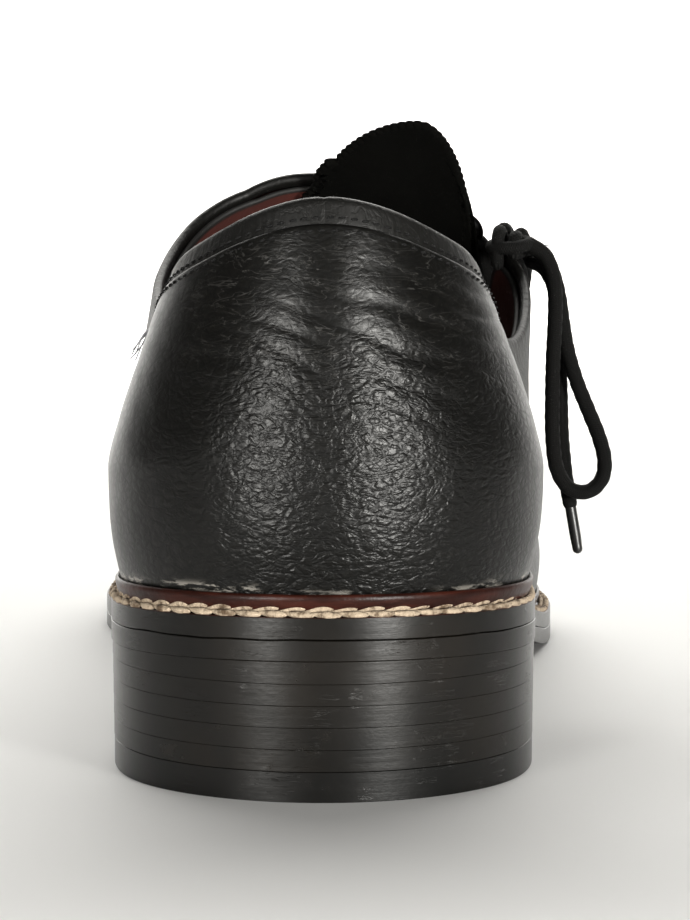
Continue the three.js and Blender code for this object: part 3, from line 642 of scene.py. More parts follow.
def tube(path, radius, sides=12):
    """A round cord along a path: radius is a number or a function of the distance along it and the
    angle round it. Its ends are rounded off by quarter circles."""
    run = distances(path)
    angle = np.linspace(0, 2 * np.pi, sides, endpoint=False)
    if callable(radius):
        size = radius(run[:, None], angle[None])
    else:
        size = np.full((len(path), sides), float(radius))
    ahead, side, up = frames_along(path)
    ring = side[:, None] * np.cos(angle)[None, :, None] + up[:, None] * np.sin(angle)[None, :, None]
    points = path[:, None] + ring * size[..., None]
    v = np.repeat(run[:, None], sides, 1)
    for end, way in ((0, -1), (-1, 1)):
        cap = np.array([
            path[end] + ahead[end] * (way * size[end].mean() * math.sin(t))
            + ring[end] * size[end][:, None] * math.cos(t)
            for t in np.radians([30, 60, 90])[::way]
        ])
        cap_v = np.full((len(cap), sides), run[end])
        points = np.concatenate([points, cap] if way > 0 else [cap, points])
        v = np.concatenate([v, cap_v] if way > 0 else [cap_v, v])
    uv = np.stack([np.broadcast_to(angle / (2 * np.pi), v.shape), v / 10], -1).reshape(-1, 2)
    return Shape(points, grid_quads(len(points), sides, close_columns=True), uv=uv)


def repeated(unit_points, unit_quads, places, along_way, side_way, up_way):
    """One small form set down at many places, each turned to its own three directions."""
    p = (
        places[:, None]
        + along_way[:, None] * unit_points[None, :, :1]
        + side_way[:, None] * unit_points[None, :, 1:2]
        + up_way[:, None] * unit_points[None, :, 2:]
    )
    count = len(unit_points)
    quads = unit_quads[None] + (np.arange(len(places)) * count)[:, None, None]
    return Shape(p, quads)


def make_piece(name, shape, material, nodes=(), slot=None, weld=True, sharp=None):
    """Puts a shape into a mesh at the origin, faces outwards, and lets it ride on the shoe."""
    if weld:
        shape = shape.welded()
    quads = shape.quads if shape.volume() > 0 else shape.quads[:, ::-1]
    kept = quads != np.roll(quads, -1, axis=1)
    totals = kept.sum(axis=1)
    loops = quads[kept]
    mesh = bpy.data.meshes.new(name)
    mesh.vertices.add(len(shape.points))
    mesh.vertices.foreach_set("co", metres(shape.points).ravel())
    mesh.loops.add(len(loops))
    mesh.loops.foreach_set("vertex_index", loops.astype(np.int32))
    mesh.polygons.add(len(totals))
    mesh.polygons.foreach_set("loop_start", (np.cumsum(totals) - totals).astype(np.int32))
    mesh.update(calc_edges=True)
    if mesh.validate():
        print(name, "had faces that were mended")
    mesh.shade_smooth()
    if sharp is not None:
        mesh.set_sharp_from_angle(angle=math.radians(sharp))
    for field, values in shape.fields.items():
        mesh.attributes.new(field, "FLOAT", "POINT").data.foreach_set("value", values)
    if shape.uv is not None and len(mesh.loops) == len(loops):
        layer = mesh.uv_layers.new(name="round_and_along")
        layer.data.foreach_set("uv", shape.uv[loops].ravel())
    mesh.materials.append(material)
    piece = bpy.data.objects.new(name, mesh)
    bpy.context.scene.collection.objects.link(piece)
    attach(piece, "root")
    if nodes:
        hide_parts(*nodes)
    return piece


class Value:
    """A shader socket whose arithmetic adds Math nodes."""

    def __init__(self, shader, socket):
        self.shader = shader
        self.socket = socket

    def math(self, operation, *others):
        values = dict(enumerate((self, *others)))
        return self.shader.node("ShaderNodeMath", {"operation": operation}, values)

    def __add__(self, other):
        return self.math("ADD", other)

    def __radd__(self, other):
        return self.math("ADD", other)

    def __sub__(self, other):
        return self.math("SUBTRACT", other)

    def __rsub__(self, other):
        return self.shader.node("ShaderNodeMath", {"operation": "SUBTRACT"}, {0: other, 1: self})

    def __mul__(self, other):
        return self.math("MULTIPLY", other)

    def creases(self, width):
        """1 outside the lines where a noise passes its middle, 0 on them."""
        return (self - 0.5).math("ABSOLUTE").above(0.0, width)

    def above(self, low, high):
        """0 below low and 1 above high, with a smooth rise between."""
        return self.shader.node(
            "ShaderNodeMapRange", {"interpolation_type": "SMOOTHSTEP"}, {0: self, 1: low, 2: high}
        )


class Finish:
    """A material under construction."""

    def __init__(self, name):
        self.material = bpy.data.materials.new(name)
        self.material.use_nodes = True
        self.tree = self.material.node_tree
        self.tree.nodes.clear()

    def node(self, kind, settings=None, values=None, out=0):
        """One node with its settings, and with its sockets linked or set."""
        made = self.tree.nodes.new(kind)
        for key, value in (settings or {}).items():
            setattr(made, key, value)
        for key, value in (values or {}).items():
            socket = made.inputs[key]
            if isinstance(value, Value):
                self.tree.links.new(value.socket, socket)
            elif socket.type == "RGBA":
                socket.default_value = (*value[:3], 1.0)
            else:
                socket.default_value = value
        return None if out is None else Value(self, made.outputs[out])

    def place(self, stretch=(1, 1, 1), turn=(0, 0, 0)):
        """Object coordinates, stretched by a Mapping node."""
        values = {"Vector": self.node("ShaderNodeTexCoord", out="Object"), "Scale": stretch, "Rotation": turn}
        return self.node("ShaderNodeMapping", None, values)

    def field(self, name):
        return self.node("ShaderNodeAttribute", {"attribute_name": name}, out="Fac")

    def noise(self, scale, detail=2.0, roughness=0.5, vector=None, distortion=0.0):
        values = {"Scale": scale, "Detail": detail, "Roughness": roughness, "Distortion": distortion}
        return self.node("ShaderNodeTexNoise", None, {"Vector": vector or self.place(), **values})

    def mix(self, share, a, b):
        """Colour a where share is 0 and b where it is 1."""
        return self.node("ShaderNodeMix", {"data_type": "RGBA"}, {0: share, 6: a, 7: b}, out=2)

    def bump(self, height, depth):
        return self.node("ShaderNodeBump", None, {"Height": height, "Distance": depth, "Strength": 1.0})

    def surface(self, **values):
        """Ends the material in one Principled shader. Names with _ stand for its sockets."""
        values = {key.replace("_", " "): value for key, value in values.items()}
        shader = self.node("ShaderNodeBsdfPrincipled", None, values)
        self.node("ShaderNodeOutputMaterial", None, {0: shader}, out=None)
        return self.material


def shade(colour, share):
    """A colour times a share: darker under 1, lighter over it."""
    return tuple(min(1.0, c * share) for c in colour[:3])


def grain_leather(name, colour, grain, depth):
    """Tumbled leather: soft pebbles, wider than high, between thin folds, with painted shade in the
    hollows between the pebbles. The field tumble says how strong the grain is, another field how
    strongly a painted highlight lightens fine wrinkle lines, and scuff where the finish is worn."""
    f = Finish(name)
    flat = f.place(stretch=(1, 1, 1.55))
    drift = f.node("ShaderNodeTexNoise", None, {"Vector": flat, "Scale": 300.0, "Detail": 1.0}, out="Color")
    share = (0.0015, 0.0015, 0.0015)
    shifted = f.node("ShaderNodeVectorMath", {"operation": "MULTIPLY_ADD"}, {0: drift, 1: share, 2: flat})

    def cells(size):
        edges = {"feature": "DISTANCE_TO_EDGE"}
        return f.node("ShaderNodeTexVoronoi", edges, {"Vector": shifted, "Scale": 1 / size})

    pebble = cells(grain).above(0.0, 0.34)
    fine = cells(grain / 2.1).above(0.0, 0.3)
    folds = f.noise(170, 3, 0.55, f.place(stretch=(1, 1, 2.6)), 0.9).creases(0.06)
    pores = f.noise(1900, 2)
    height = (pebble + fine * 0.35 + folds * 0.45) * f.field("tumble") + pores * 0.1
    tone = f.mix(f.noise(60, 3).above(0.3, 0.7), shade(colour, 0.8), colour)
    # Painted shade: the hollows between the pebbles are darker.
    tone = f.mix(pebble.above(0.05, 0.5), shade(colour, 0.5), tone)
    # Painted highlight: fine wrinkle lines are lightened by the field's share.
    wrinkle = 1 - f.noise(150, 3, 0.6, f.place(stretch=(0.7, 0.7, 2.4)), 1.2).creases(0.012)
    tone = f.mix(wrinkle * f.field("dry") * 0.55, tone, (0.06, 0.058, 0.055))
    streaks = f.noise(520, 4, 0.7, f.place(stretch=(0.35, 0.35, 1.5))).above(0.5, 0.6)
    tone = f.mix(f.field("scuff") * streaks, tone, (0.3, 0.28, 0.25))
    rough = 0.33 - pebble * 0.04 + pores * 0.05
    low = f.bump(height, depth)
    return f.surface(Base_Color=tone, Roughness=rough, Specular_IOR_Level=0.22, Normal=low)


def smooth_leather(name, colour):
    """Calf leather with fine pores and soft ribs where it is folded over an edge."""
    f = Finish(name)
    pores = f.noise(1500, 3)
    veins = f.noise(240, 4, 0.6, distortion=0.8).creases(0.06)
    ribs = f.noise(800, 2, vector=f.place(stretch=(1, 1, 0.25), turn=(0.5, 0.4, 0))) * f.field("fold")
    low = f.bump(pores * 0.2 + veins * 0.25 + ribs * 1.6, 0.0001)
    tone = f.mix(f.noise(70, 3).above(0.3, 0.7), shade(colour, 0.8), colour)
    return f.surface(Base_Color=tone, Roughness=0.42 + pores * 0.1, Specular_IOR_Level=0.26, Normal=low)


def lining_leather(name, colour, rim):
    """Lining leather with a faint grain. Near an edge, where the field rim is 1, it is the black of
    the folded outer leather."""
    f = Finish(name)
    grain = f.noise(900, 4)
    tone = f.mix(f.noise(45, 3).above(0.35, 0.7), shade(colour, 0.62), colour)
    tone = f.mix(f.field("rim"), tone, rim)
    return f.surface(Base_Color=tone, Roughness=0.6 + grain * 0.15, Normal=f.bump(grain, 0.0001))


def suede(name, colour):
    """Suede: a nap of short fibres, rough and without gloss, that lies in soft patches."""
    f = Finish(name)
    nap = f.noise(2400, 4, 0.7)
    patch = f.noise(120, 4, 0.6)
    tone = f.mix(patch.above(0.35, 0.7), shade(colour, 0.7), colour)
    tone = f.mix(nap.above(0.55, 0.8), tone, shade(colour, 1.5))
    low = f.bump(nap + patch * 0.5, 0.00025)
    return f.surface(Base_Color=tone, Roughness=0.95, Specular_IOR_Level=0.05, Normal=low)


def welt_leather(name, colour):
    """Dyed and waxed welt: glossy, with darker streaks along it."""
    f = Finish(name)
    streak = f.noise(240, 4, 0.6, vector=f.place(stretch=(0.35, 0.35, 2.5)))
    tone = f.mix(streak.above(0.35, 0.7), shade(colour, 0.35), colour)
    low = f.bump(f.noise(700, 3), 0.00008)
    return f.surface(Base_Color=tone, Roughness=0.29 + streak * 0.14, Specular_IOR_Level=0.16, Normal=low)


def edge_leather(name, colour, warm):
    """Inked and burnished leather edges: smooth, with a few fine scratches that run level round the
    sole, broad patches of a warmer brown and soft smears in the polish."""
    f = Finish(name)
    level = f.noise(70, 4, 0.6, vector=f.place(stretch=(0.4, 0.4, 14)))
    scratch = 1 - f.noise(42, 6, 0.7, f.place(stretch=(1, 1, 14)), 0.3).creases(0.007)
    cut = scratch * f.noise(95, 2).above(0.54, 0.72)
    smear = f.noise(140, 5, 0.7, vector=f.place(stretch=(1, 1, 1.6)))
    blot = f.noise(34, 4, 0.6)
    tone = f.mix(blot.above(0.35, 0.68), colour, warm)
    tone = f.mix(smear.above(0.55, 0.78) * 0.4, tone, shade(warm, 1.6))
    tone = f.mix(cut * 0.35, tone, shade(warm, 2.6))
    pits = f.noise(1300, 2)
    rough = 0.215 + smear * 0.09 + cut * 0.1
    low = f.bump(level * 0.2 + smear * 0.45 + pits * 0.1 - cut * 0.25, 0.00008)
    return f.surface(Base_Color=tone, Roughness=rough, Specular_IOR_Level=0.25, Normal=low)


def spun_thread(name, colour, dirt, twist):
    """Spun thread: fibres and two twisted plies, with dirt between them."""
    f = Finish(name)
    fibres = f.noise(1700, 4, 0.65)
    ply = f.noise(twist, 2, vector=f.place(turn=(0.6, 0.5, 0.3), stretch=(1, 1, 0.3)))
    tone = f.mix(f.noise(360, 4, 0.65).above(0.46, 0.66), colour, dirt)
    tone = f.mix(fibres.above(0.5, 0.75) * 0.5, tone, shade(dirt, 0.8))
    low = f.bump(fibres * 0.7 + ply * 1.2, 0.0004)
    return f.surface(Base_Color=tone, Roughness=0.85, Specular_IOR_Level=0.25, Normal=low)


def braided_cord(name, colour):
    """Braided lace: two sets of strands wind round it in opposite directions, in the cord's own
    round-and-along coordinates, and pass over each other in turn."""
    f = Finish(name)
    uv = f.node("ShaderNodeUVMap", {"uv_map": "round_and_along"})
    round_it = f.node("ShaderNodeSeparateXYZ", None, {0: uv})
    along_it = f.node("ShaderNodeSeparateXYZ", None, {0: uv}, out=1)
    one = ((round_it * 8 + along_it * 26) * math.pi).math("SINE").math("ABSOLUTE")
    two = ((round_it * 8 - along_it * 26) * math.pi).math("SINE").math("ABSOLUTE")
    weave = one.math("MAXIMUM", two)
    # Painted shade: the grooves between the strands are darker.
    tone = f.mix(weave.above(0.5, 1.0), shade(colour, 0.4), colour)
    low = f.bump(weave + f.noise(2600, 3) * 0.35, 0.00018)
    return f.surface(Base_Color=tone, Roughness=0.8, Specular_IOR_Level=0.2, Normal=low)


def hard_tip(name, colour):
    """Hard enamel of a lace tip or an eyelet, a little paler where it is worn."""
    f = Finish(name)
    wear = f.noise(900, 4, 0.7, vector=f.place(stretch=(1, 1, 0.4)))
    tone = f.mix(wear.above(0.6, 0.8), colour, shade(colour, 3))
    return f.surface(Base_Color=tone, Roughness=0.25 + wear * 0.2, Normal=f.bump(wear, 0.00005))


def pale_floor(name, colour):
    f = Finish(name)
    tone = f.mix(f.noise(3, 3).above(0.3, 0.7), shade(colour, 0.985), colour)
    return f.surface(Base_Color=tone, Roughness=0.75, Specular_IOR_Level=0.3)


def colour_setting(name, description, value):
    return bpy.props.FloatVectorProperty(
        name=name, description=description, subtype="COLOR", size=3, min=0, max=1, default=value
    )


def length_setting(name, description, value):
    return bpy.props.FloatProperty(
        name=name, description=description, subtype="DISTANCE", unit="LENGTH", min=0, precision=5,
        default=value,
    )


class HaferlSizes(bpy.types.PropertyGroup):
    lace: length_setting("Lace", "Diameter of the lace", 0.003)
    stitch: length_setting("Stitch", "Distance from stitch to stitch in the upper's seams", 0.002)
    welt_stitch: length_setting("Welt stitch", "Length of one link of the braided seam on the welt", 0.0044)
    welt_thread: length_setting("Welt thread", "Thickness of the thread on the welt", 0.0011)
    grain: length_setting("Grain", "Size of a pebble in the grained leather", 0.0023)
    grain_depth: length_setting("Grain depth", "How deep the grain is", 0.00007)
    pinking: length_setting("Pinking", "Distance from tooth to tooth on the tongue's edge", 0.0018)
    waviness: length_setting("Waviness", "How far the leather rises and falls over centimetres", 0.00022)


class HaferlColours(bpy.types.PropertyGroup):
    panel: colour_setting("Grained leather", "Heel panel and vamp", (0.0036, 0.0034, 0.0029))
    quarter: colour_setting("Quarters", "Smooth leather of the quarters", (0.0036, 0.0034, 0.0029))
    lining: colour_setting("Lining", "Lining leather", (0.075, 0.016, 0.011))
    tongue: colour_setting("Tongue", "Suede of the tongue", (0.0022, 0.0022, 0.0018))
    welt: colour_setting("Welt", "Dyed welt leather", (0.036, 0.0085, 0.005))
    edge: colour_setting("Sole edge", "Inked edges of sole and heel", (0.003, 0.0028, 0.0024))
    worn_edge: colour_setting("Worn edge", "Brown in the inked edges", (0.0075, 0.006, 0.0045))
    welt_thread: colour_setting("Welt thread", "Linen of the braided seam", (0.42, 0.335, 0.245))
    thread: colour_setting("Thread", "Thread of the upper's seams", (0.006, 0.006, 0.006))
    lace: colour_setting("Lace", "Braided lace", (0.0028, 0.0028, 0.0025))
    floor: colour_setting("Floor", "Floor and backdrop", (0.88, 0.88, 0.88))


def settings():
    scene = bpy.context.scene
    return scene.haferl_sizes, scene.haferl_colours


def facing(way):
    """Turn of a camera or light that looks a given way."""
    return Vector(way).to_track_quat("-Z", "Y").to_euler()


def camera_and_light():
    """Camera at the photograph's place: behind the heel, a little above it, looking slightly down.
    Two low soft lights stand left and right of the camera, and a wide one hangs over the backdrop."""
    scene = bpy.context.scene
    data = bpy.data.cameras.new("camera")
    data.sensor_fit = "VERTICAL"
    data.sensor_height = 24.0
    data.lens = data.sensor_height * FOCAL_LENGTH
    data.clip_start = 0.02
    camera = bpy.data.objects.new("camera", data)
    scene.collection.objects.link(camera)
    camera.location = Vector(metres(CAMERA))
    turn, down = math.radians(CAMERA_TURN), math.radians(CAMERA_DOWN)
    level = math.cos(down)
    camera.rotation_euler = facing((-math.sin(turn) * level, math.cos(turn) * level, -math.sin(down)))
    scene.camera = camera

    for name, at, aim, size, power in LIGHTS:
        light = bpy.data.lights.new(name, "AREA")
        light.shape = "RECTANGLE"
        light.size, light.size_y = size
        light.energy = power
        light.color = LIGHT_COLOUR
        holder = bpy.data.objects.new(name, light)
        scene.collection.objects.link(holder)
        holder.location = at
        holder.rotation_euler = facing(Vector(aim) - Vector(at))

    world = bpy.data.worlds.new("studio")
    world.use_nodes = True
    background = world.node_tree.nodes["Background"]
    background.inputs["Color"].default_value = (*LIGHT_COLOUR, 1)
    background.inputs["Strength"].default_value = WORLD_STRENGTH
    scene.world = world
    scene.view_settings.view_transform = "Standard"


def floor_and_backdrop(colour):
    """One pale sheet: level under the shoe, then up in a quarter circle far behind it."""
    depth = np.array([-3.0, -1.5, 0.0, 1.2, 2.0])
    bend = np.radians(np.linspace(0, 90, 13))[1:]
    y = np.concatenate([depth, 2.0 + np.sin(bend), [3.0]])
    z = np.concatenate([0 * depth, 1.0 - np.cos(bend), [3.5]])
    x = np.linspace(-4, 4, 9)
    points = np.stack(np.broadcast_arrays(x[:, None], y[None], z[None]), -1)
    shape = Shape(points, grid_quads(len(x), len(y)))
    mesh = bpy.data.meshes.new("floor")
    mesh.from_pydata(shape.points.tolist(), [], shape.quads.tolist())
    mesh.shade_smooth()
    mesh.materials.append(pale_floor("pale_floor", colour))
    floor = bpy.data.objects.new("floor", mesh)
    bpy.context.scene.collection.objects.link(floor)


class HAFERL_OT_stage(bpy.types.Operator):
    """Add the camera, the lights, the floor and the backdrop"""

    bl_idname = "haferl.stage"
    bl_label = "Stage"

    def execute(self, context):
        camera_and_light()
        floor_and_backdrop(tuple(context.scene.haferl_colours.floor))
        return {"FINISHED"}


def braid_radius(lace):
    """Radius of the lace: its own radius less the hollows between eight strands that cross."""

    def radius(run, angle):
        one = np.abs(np.sin(4 * angle + run * 1.3))
        two = np.abs(np.sin(4 * angle - run * 1.3))
        return lace / 2 * (0.93 + 0.07 * np.maximum(one, two))

    return radius


class HAFERL_OT_lace(bpy.types.Operator):
    """Add the lace: its loops and ends as free cords, their tips, the knot and the crossings"""

    bl_idname = "haferl.lace"
    bl_label = "Lace"

    def execute(self, context):
        sizes, colours = settings()
        lace = sizes.lace * 1000
        black = braided_cord("lace_braid", tuple(colours.lace))
        tip = hard_tip("lace_tip", (0.01, 0.01, 0.01))
        tips = {}
        for route, node in (("lace_end", "aglet"), ("lace_end_far", "aglet_far")):
            path = np.array(LACE_ROUTES[route])
            way = unit(path[-1] - path[-2])
            line = path[-1] + way * GAP + way * np.linspace(0, TIP_LENGTH, 19)[:, None]
            size = lambda r, a: 1.1 - 0.12 * smoothstep(r, 6, TIP_LENGTH) + 0.02 * np.cos(6 * a)
            tips[route] = make_piece(f"tip_{route}", tube(line, size, 12), tip, (node,), "aglet")
        knot = make_knot(lace, black)
        for route, points in LACE_ROUTES.items():
            path = through(points, 0.4)
            length = distances(path)[-1]
            cord = tube(path, braid_radius(lace), 16)
            piece = make_piece(f"cord_{route}", cord, black, (route,), "lace")
            others = [tips[route]] if route in tips else []
            if route == "lace_loop":
                others.append(knot)
            tuple(metres(points[0]))
            [tuple(p) for p in metres(path[::4])] + [tuple(metres(path[-1]))]
        crossings(lace, black)
        return {"FINISHED"}


def make_knot(lace, material):
    """The bow's knot: two turns of lace drawn upright round a short level one."""
    radius = braid_radius(lace * 0.86)
    shape = joined(tube(through(np.array(turn) + KNOT, 0.4), radius, 14) for turn in KNOT_TURNS)
    return make_piece("knot", shape, material, ("lace_knot",), "lace", weld=False)


def crossings(lace, material):
    """The lace between the eyelets: straight over at the front, crossed behind, each strand dipping
    into its two eyelets."""
    front = len(EYELETS) - 1
    strands = [(front, -1, front, 1)]
    for k in range(front, 0, -1):
        for side in (-1, 1):
            strands.append((k, side, k - 1, -side))
    t = np.linspace(0, 1, 60)
    parts = []
    for a, side_a, b, side_b in strands:
        y = lerp(EYELETS[a], EYELETS[b], t)
        start = side_a * (slit_half(EYELETS[a]) + EYELET_SETBACK)
        stop = side_b * (slit_half(EYELETS[b]) + EYELET_SETBACK)
        across = lerp(start, stop, t)
        p, n = arch(place_along(y), turn_across(y, across))
        over = (1 if side_a > 0 else -1) if a != b else 0
        ends = smoothstep(np.minimum(t, 1 - t), 0.0, 0.16)
        hump = 0.9 * over * np.exp(-((t - 0.5) / 0.17) ** 2)
        lift = lerp(-WALL, QUARTER_STEP + 1.75, ends) + np.maximum(hump, 0)
        parts.append(tube(evenly(p + n * lift[:, None], 90), braid_radius(lace), 12))
    return make_piece("lace_crossings", joined(parts), material, ("lace_bars",), "lace", weld=False)


def quarter_outline(medial, drop, front_back, slit_gap, steps_along, steps_up):
    """Grids of section and turn that fill one quarter: from the feather edge up to the collar and
    the lacing slit, and from the back of the heel to the quarter's front edge."""
    bottom_turn = 2.0 if medial else 0.0
    side = 1 if medial else -1

    def front_section(turn):
        return edge_over(QUARTER_FRONT, turn, front_back, 3, 9)

    def slit_edge(y):
        half = slit_half(y) * (1 - smoothstep(y, SLIT_END - 4, SLIT_END)) + slit_gap
        return turn_across(y, side * half)

    turns = np.linspace(0.05, 1, 60)
    middle_y = arch(front_section(turns), turns)[0][:, 1]
    meet = turns - turn_across(np.minimum(middle_y, 228), 0.0)
    corner = float(np.interp(0.0, meet, turns))
    y_corner = float(along(float(front_section(np.array([corner]))[0]))) * LENGTH / 100
    front_turn = np.linspace(bottom_turn, float(slit_edge(np.array(y_corner))), 80)
    front = np.stack([front_section(front_turn), front_turn], -1)

    def slit_to(y, count):
        y = np.linspace(y_corner, y, count)
        line = np.stack([place_along(y), slit_edge(y)], -1)
        line[0] = front[-1]
        return line

    if medial:
        slit = slit_to(OUTER_THROAT + drop, 70)
        q = np.linspace(0, float(place_along(INNER_THROAT + drop)), 120)
        up = up_at_height(ROUND - q, collar_height(ROUND - q) - drop)
        rim = np.stack([q, 2 - np.minimum(up, 0.999)], -1)
        t = np.linspace(0, 1, 40)[1:]
        (q_low, turn_low), (q_high, turn_high) = rim[-1], slit[-1]
        throat = [lerp(q_low, q_high, smoothstep(t, 0.1, 0.9)), lerp(turn_low, turn_high, t)]
        top = np.concatenate([rim, np.stack(throat, -1), slit[::-1][1:]])
    else:
        q = np.linspace(0, float(place_along(SLIT_START + 26)), 160)
        up = up_at_height(q, collar_height(q) - drop)
        y = along(q) * LENGTH / 100
        under = turn_across(np.maximum(y, 60.0), side * (slit_half(y) + slit_gap))
        soft = 0.02
        both = np.exp(-up / soft) + np.exp(-under / soft) * smoothstep(y, 88, 100)
        rim = np.stack([q, -soft * np.log(both)], -1)
        top = np.concatenate([rim, slit_to(SLIT_START + 27, 60)[::-1]])
    back = np.stack([np.zeros(20), np.linspace(bottom_turn, top[0, 1], 20)], -1)
    bottom = np.stack([np.linspace(0, front[0, 0], 120), np.full(120, bottom_turn)], -1)
    real = lambda curve: arch(curve[:, 0], curve[:, 1])[0]
    return (
        evenly(bottom, steps_along, real), evenly(top, steps_along, real),
        evenly(back, steps_up, real), evenly(front, steps_up, real),
    )


def quarter_grid(medial, drop, front_back, slit_gap, steps_along, steps_up):
    """Sections and turns of a quarter's grid, with its points, outward directions and distances
    down from its upper edge."""
    bottom, top, back, front = quarter_outline(medial, drop, front_back, slit_gap, steps_along, steps_up)
    q, turn = np.moveaxis(coons(bottom, top, back, front), -1, 0)
    p, n = arch(q, turn)
    return q, turn, p, n, from_edge(p)


def from_edge(points):
    """Distance along the grid's second direction from its last point, in millimetres."""
    step = np.linalg.norm(np.diff(points, axis=1), axis=-1)
    run = np.cumsum(step[:, ::-1], axis=1)[:, ::-1]
    return np.concatenate([run, np.zeros((len(points), 1))], axis=1)


def eyelet_places():
    """Middle and outward direction of each eyelet on the last's surface."""
    y = np.repeat(EYELETS, 2)
    side = np.tile((-1.0, 1.0), len(EYELETS))
    turn = turn_across(y, side * (slit_half(y) + EYELET_SETBACK))
    return arch(place_along(y), turn)


def outside_eyelets(points):
    """True for each face of a grid whose middle lies outside all eyelet holes."""
    middle = (points[:-1, :-1] + points[1:, 1:]) / 2
    holes, way = eyelet_places()
    keep = np.ones(middle.shape[:2], bool)
    for hole, axis in zip(holes, way):
        step = middle - hole
        flat = step - axis * (step @ axis)[..., None]
        keep &= (np.linalg.norm(flat, axis=-1) > 1.9) | (np.abs(step @ axis) > 8)
    return keep


def waves(points, depth, seed):
    """Soft rise and fall of worn leather, from noise of three sizes."""
    sizes = ((0.7, 16), (0.35, 7), (0.15, 3.2))
    return depth * sum(share * lumps(points, size, seed + k) for k, (share, size) in enumerate(sizes))


class HAFERL_OT_quarters(bpy.types.Operator):
    """Add both quarters of smooth leather with their folded edges, and the lining behind them"""

    bl_idname = "haferl.quarters"
    bl_label = "Quarters and lining"

    def execute(self, context):
        sizes, colours = settings()
        smooth = smooth_leather("quarter_leather", tuple(colours.quarter))
        inner = lining_leather("quarter_lining", tuple(colours.lining), tuple(colours.quarter))
        for medial, name in ((False, "lateral"), (True, "medial")):
            q, turn, p, n, rise = quarter_grid(medial, 1.05, 0.4, 1.05, 230, 110)
            fold = 1 - smoothstep(rise, 2.5, 5.0)
            covered = under_panel(q, turn, p)
            high = QUARTER_STEP - 0.62 * covered + waves(p, sizes.waviness * 600, 3)
            low = lerp(lerp(0.05, -1.3, fold), lerp(-0.02, -1.3, fold), covered)
            shape = leather_sheet(p, n, high, low, {"fold": fold}, keep=outside_eyelets(p))
            make_piece(f"{name}_quarter", shape, smooth, ("upper",), "grain_leather")
            q, turn, p, n, rise = quarter_grid(medial, 2.3, 10.4, 2.0, 150, 80)
            high = lerp(-0.05, -1.35, 1 - smoothstep(rise, 2.0, 4.5))
            fields = {"rim": 1 - smoothstep(rise, 0.5, 1.2)}
            shape = leather_sheet(p, n, high, -WALL, fields, keep=outside_eyelets(p))
            make_piece(f"{name}_lining", shape, inner, ("upper",), "lining")
        return {"FINISHED"}


def under_panel(q, turn, p):
    """1 where the heel panel covers a quarter, 0 where the quarter shows."""
    lateral = turn <= 1
    place = np.where(lateral, q, ROUND - q)
    edge = softened(PANEL_FRONT)
    behind = smoothstep(edge(p[..., 2]) - p[..., 1], 1.2, 3.2)
    below = smoothstep(collar_height(place) - BAND - p[..., 2], 1.2, 3.2)
    return behind * below


class HAFERL_OT_vamp(bpy.types.Operator):
    """Add the vamp of grained leather and its lining"""

    bl_idname = "haferl.vamp"
    bl_label = "Vamp"

    def execute(self, context):
        sizes, colours = settings()
        grain, depth = sizes.grain * 0.9, sizes.grain_depth * 0.8
        outer = grain_leather("vamp_leather", tuple(colours.panel), grain, depth)
        inner = lining_leather("vamp_lining_leather", tuple(colours.lining), tuple(colours.quarter))
        for name, steps, finish, slot in (
            ("vamp", 118, outer, "grain_leather"), ("vamp_lining", 80, inner, "lining"),
        ):
            t = np.linspace(0, 1, steps)
            up = t - 0.12 * np.sin(2 * np.pi * t) / (2 * np.pi)
            turn = np.concatenate([up, 2 - up[::-1][1:]])
            rear = edge_over(QUARTER_FRONT, turn, 9.5, 3, 9)
            ahead = np.linspace(0, 1, int(steps * 1.3))[:, None]
            q = lerp(rear[None], TOE, ahead)
            p, n = arch(q, np.broadcast_to(turn[None], q.shape))
            if name == "vamp":
                high = waves(p, sizes.waviness * 900, 11) * smoothstep(ahead, 0, 0.05) + toe_creases(p)
                scuff = 0.6 * (1 - smoothstep(p[..., 2] - sole_top(p[..., 1]), 1.0, 6.0))
                # The vamp has no painted highlight on wrinkle lines.
                shape = leather_sheet(p, n, high, -1.1, {"scuff": scuff, "tumble": 0.75, "dry": 0.0})
            else:
                shape = leather_sheet(p, n, -1.15, -WALL, {"rim": 0.0})
            make_piece(name, shape, finish, ("upper",), slot)
        return {"FINISHED"}


def toe_creases(p):
    """Walking creases over the joint of the foot: short waves along the shoe that fade out to the
    toe, the instep and the sole."""
    where = smoothstep(p[..., 1], 178, 196) * (1 - smoothstep(p[..., 1], 212, 232))
    high = smoothstep(p[..., 2], 24, 46)
    phase = (p[..., 1] + 4 * lumps(p, 26, 41) + 0.18 * p[..., 0]) / 6.2
    dip = np.maximum(0, np.sin(2 * np.pi * phase)) ** 2
    return -0.42 * where * high * dip * (0.6 + 0.4 * lumps(p, 12, 42))


def up_below_collar(place, drop):
    """How far up the wall the line lies that runs at a drop below the collar's edge."""
    return up_at_height(place % ROUND, collar_height(place % ROUND) - drop)


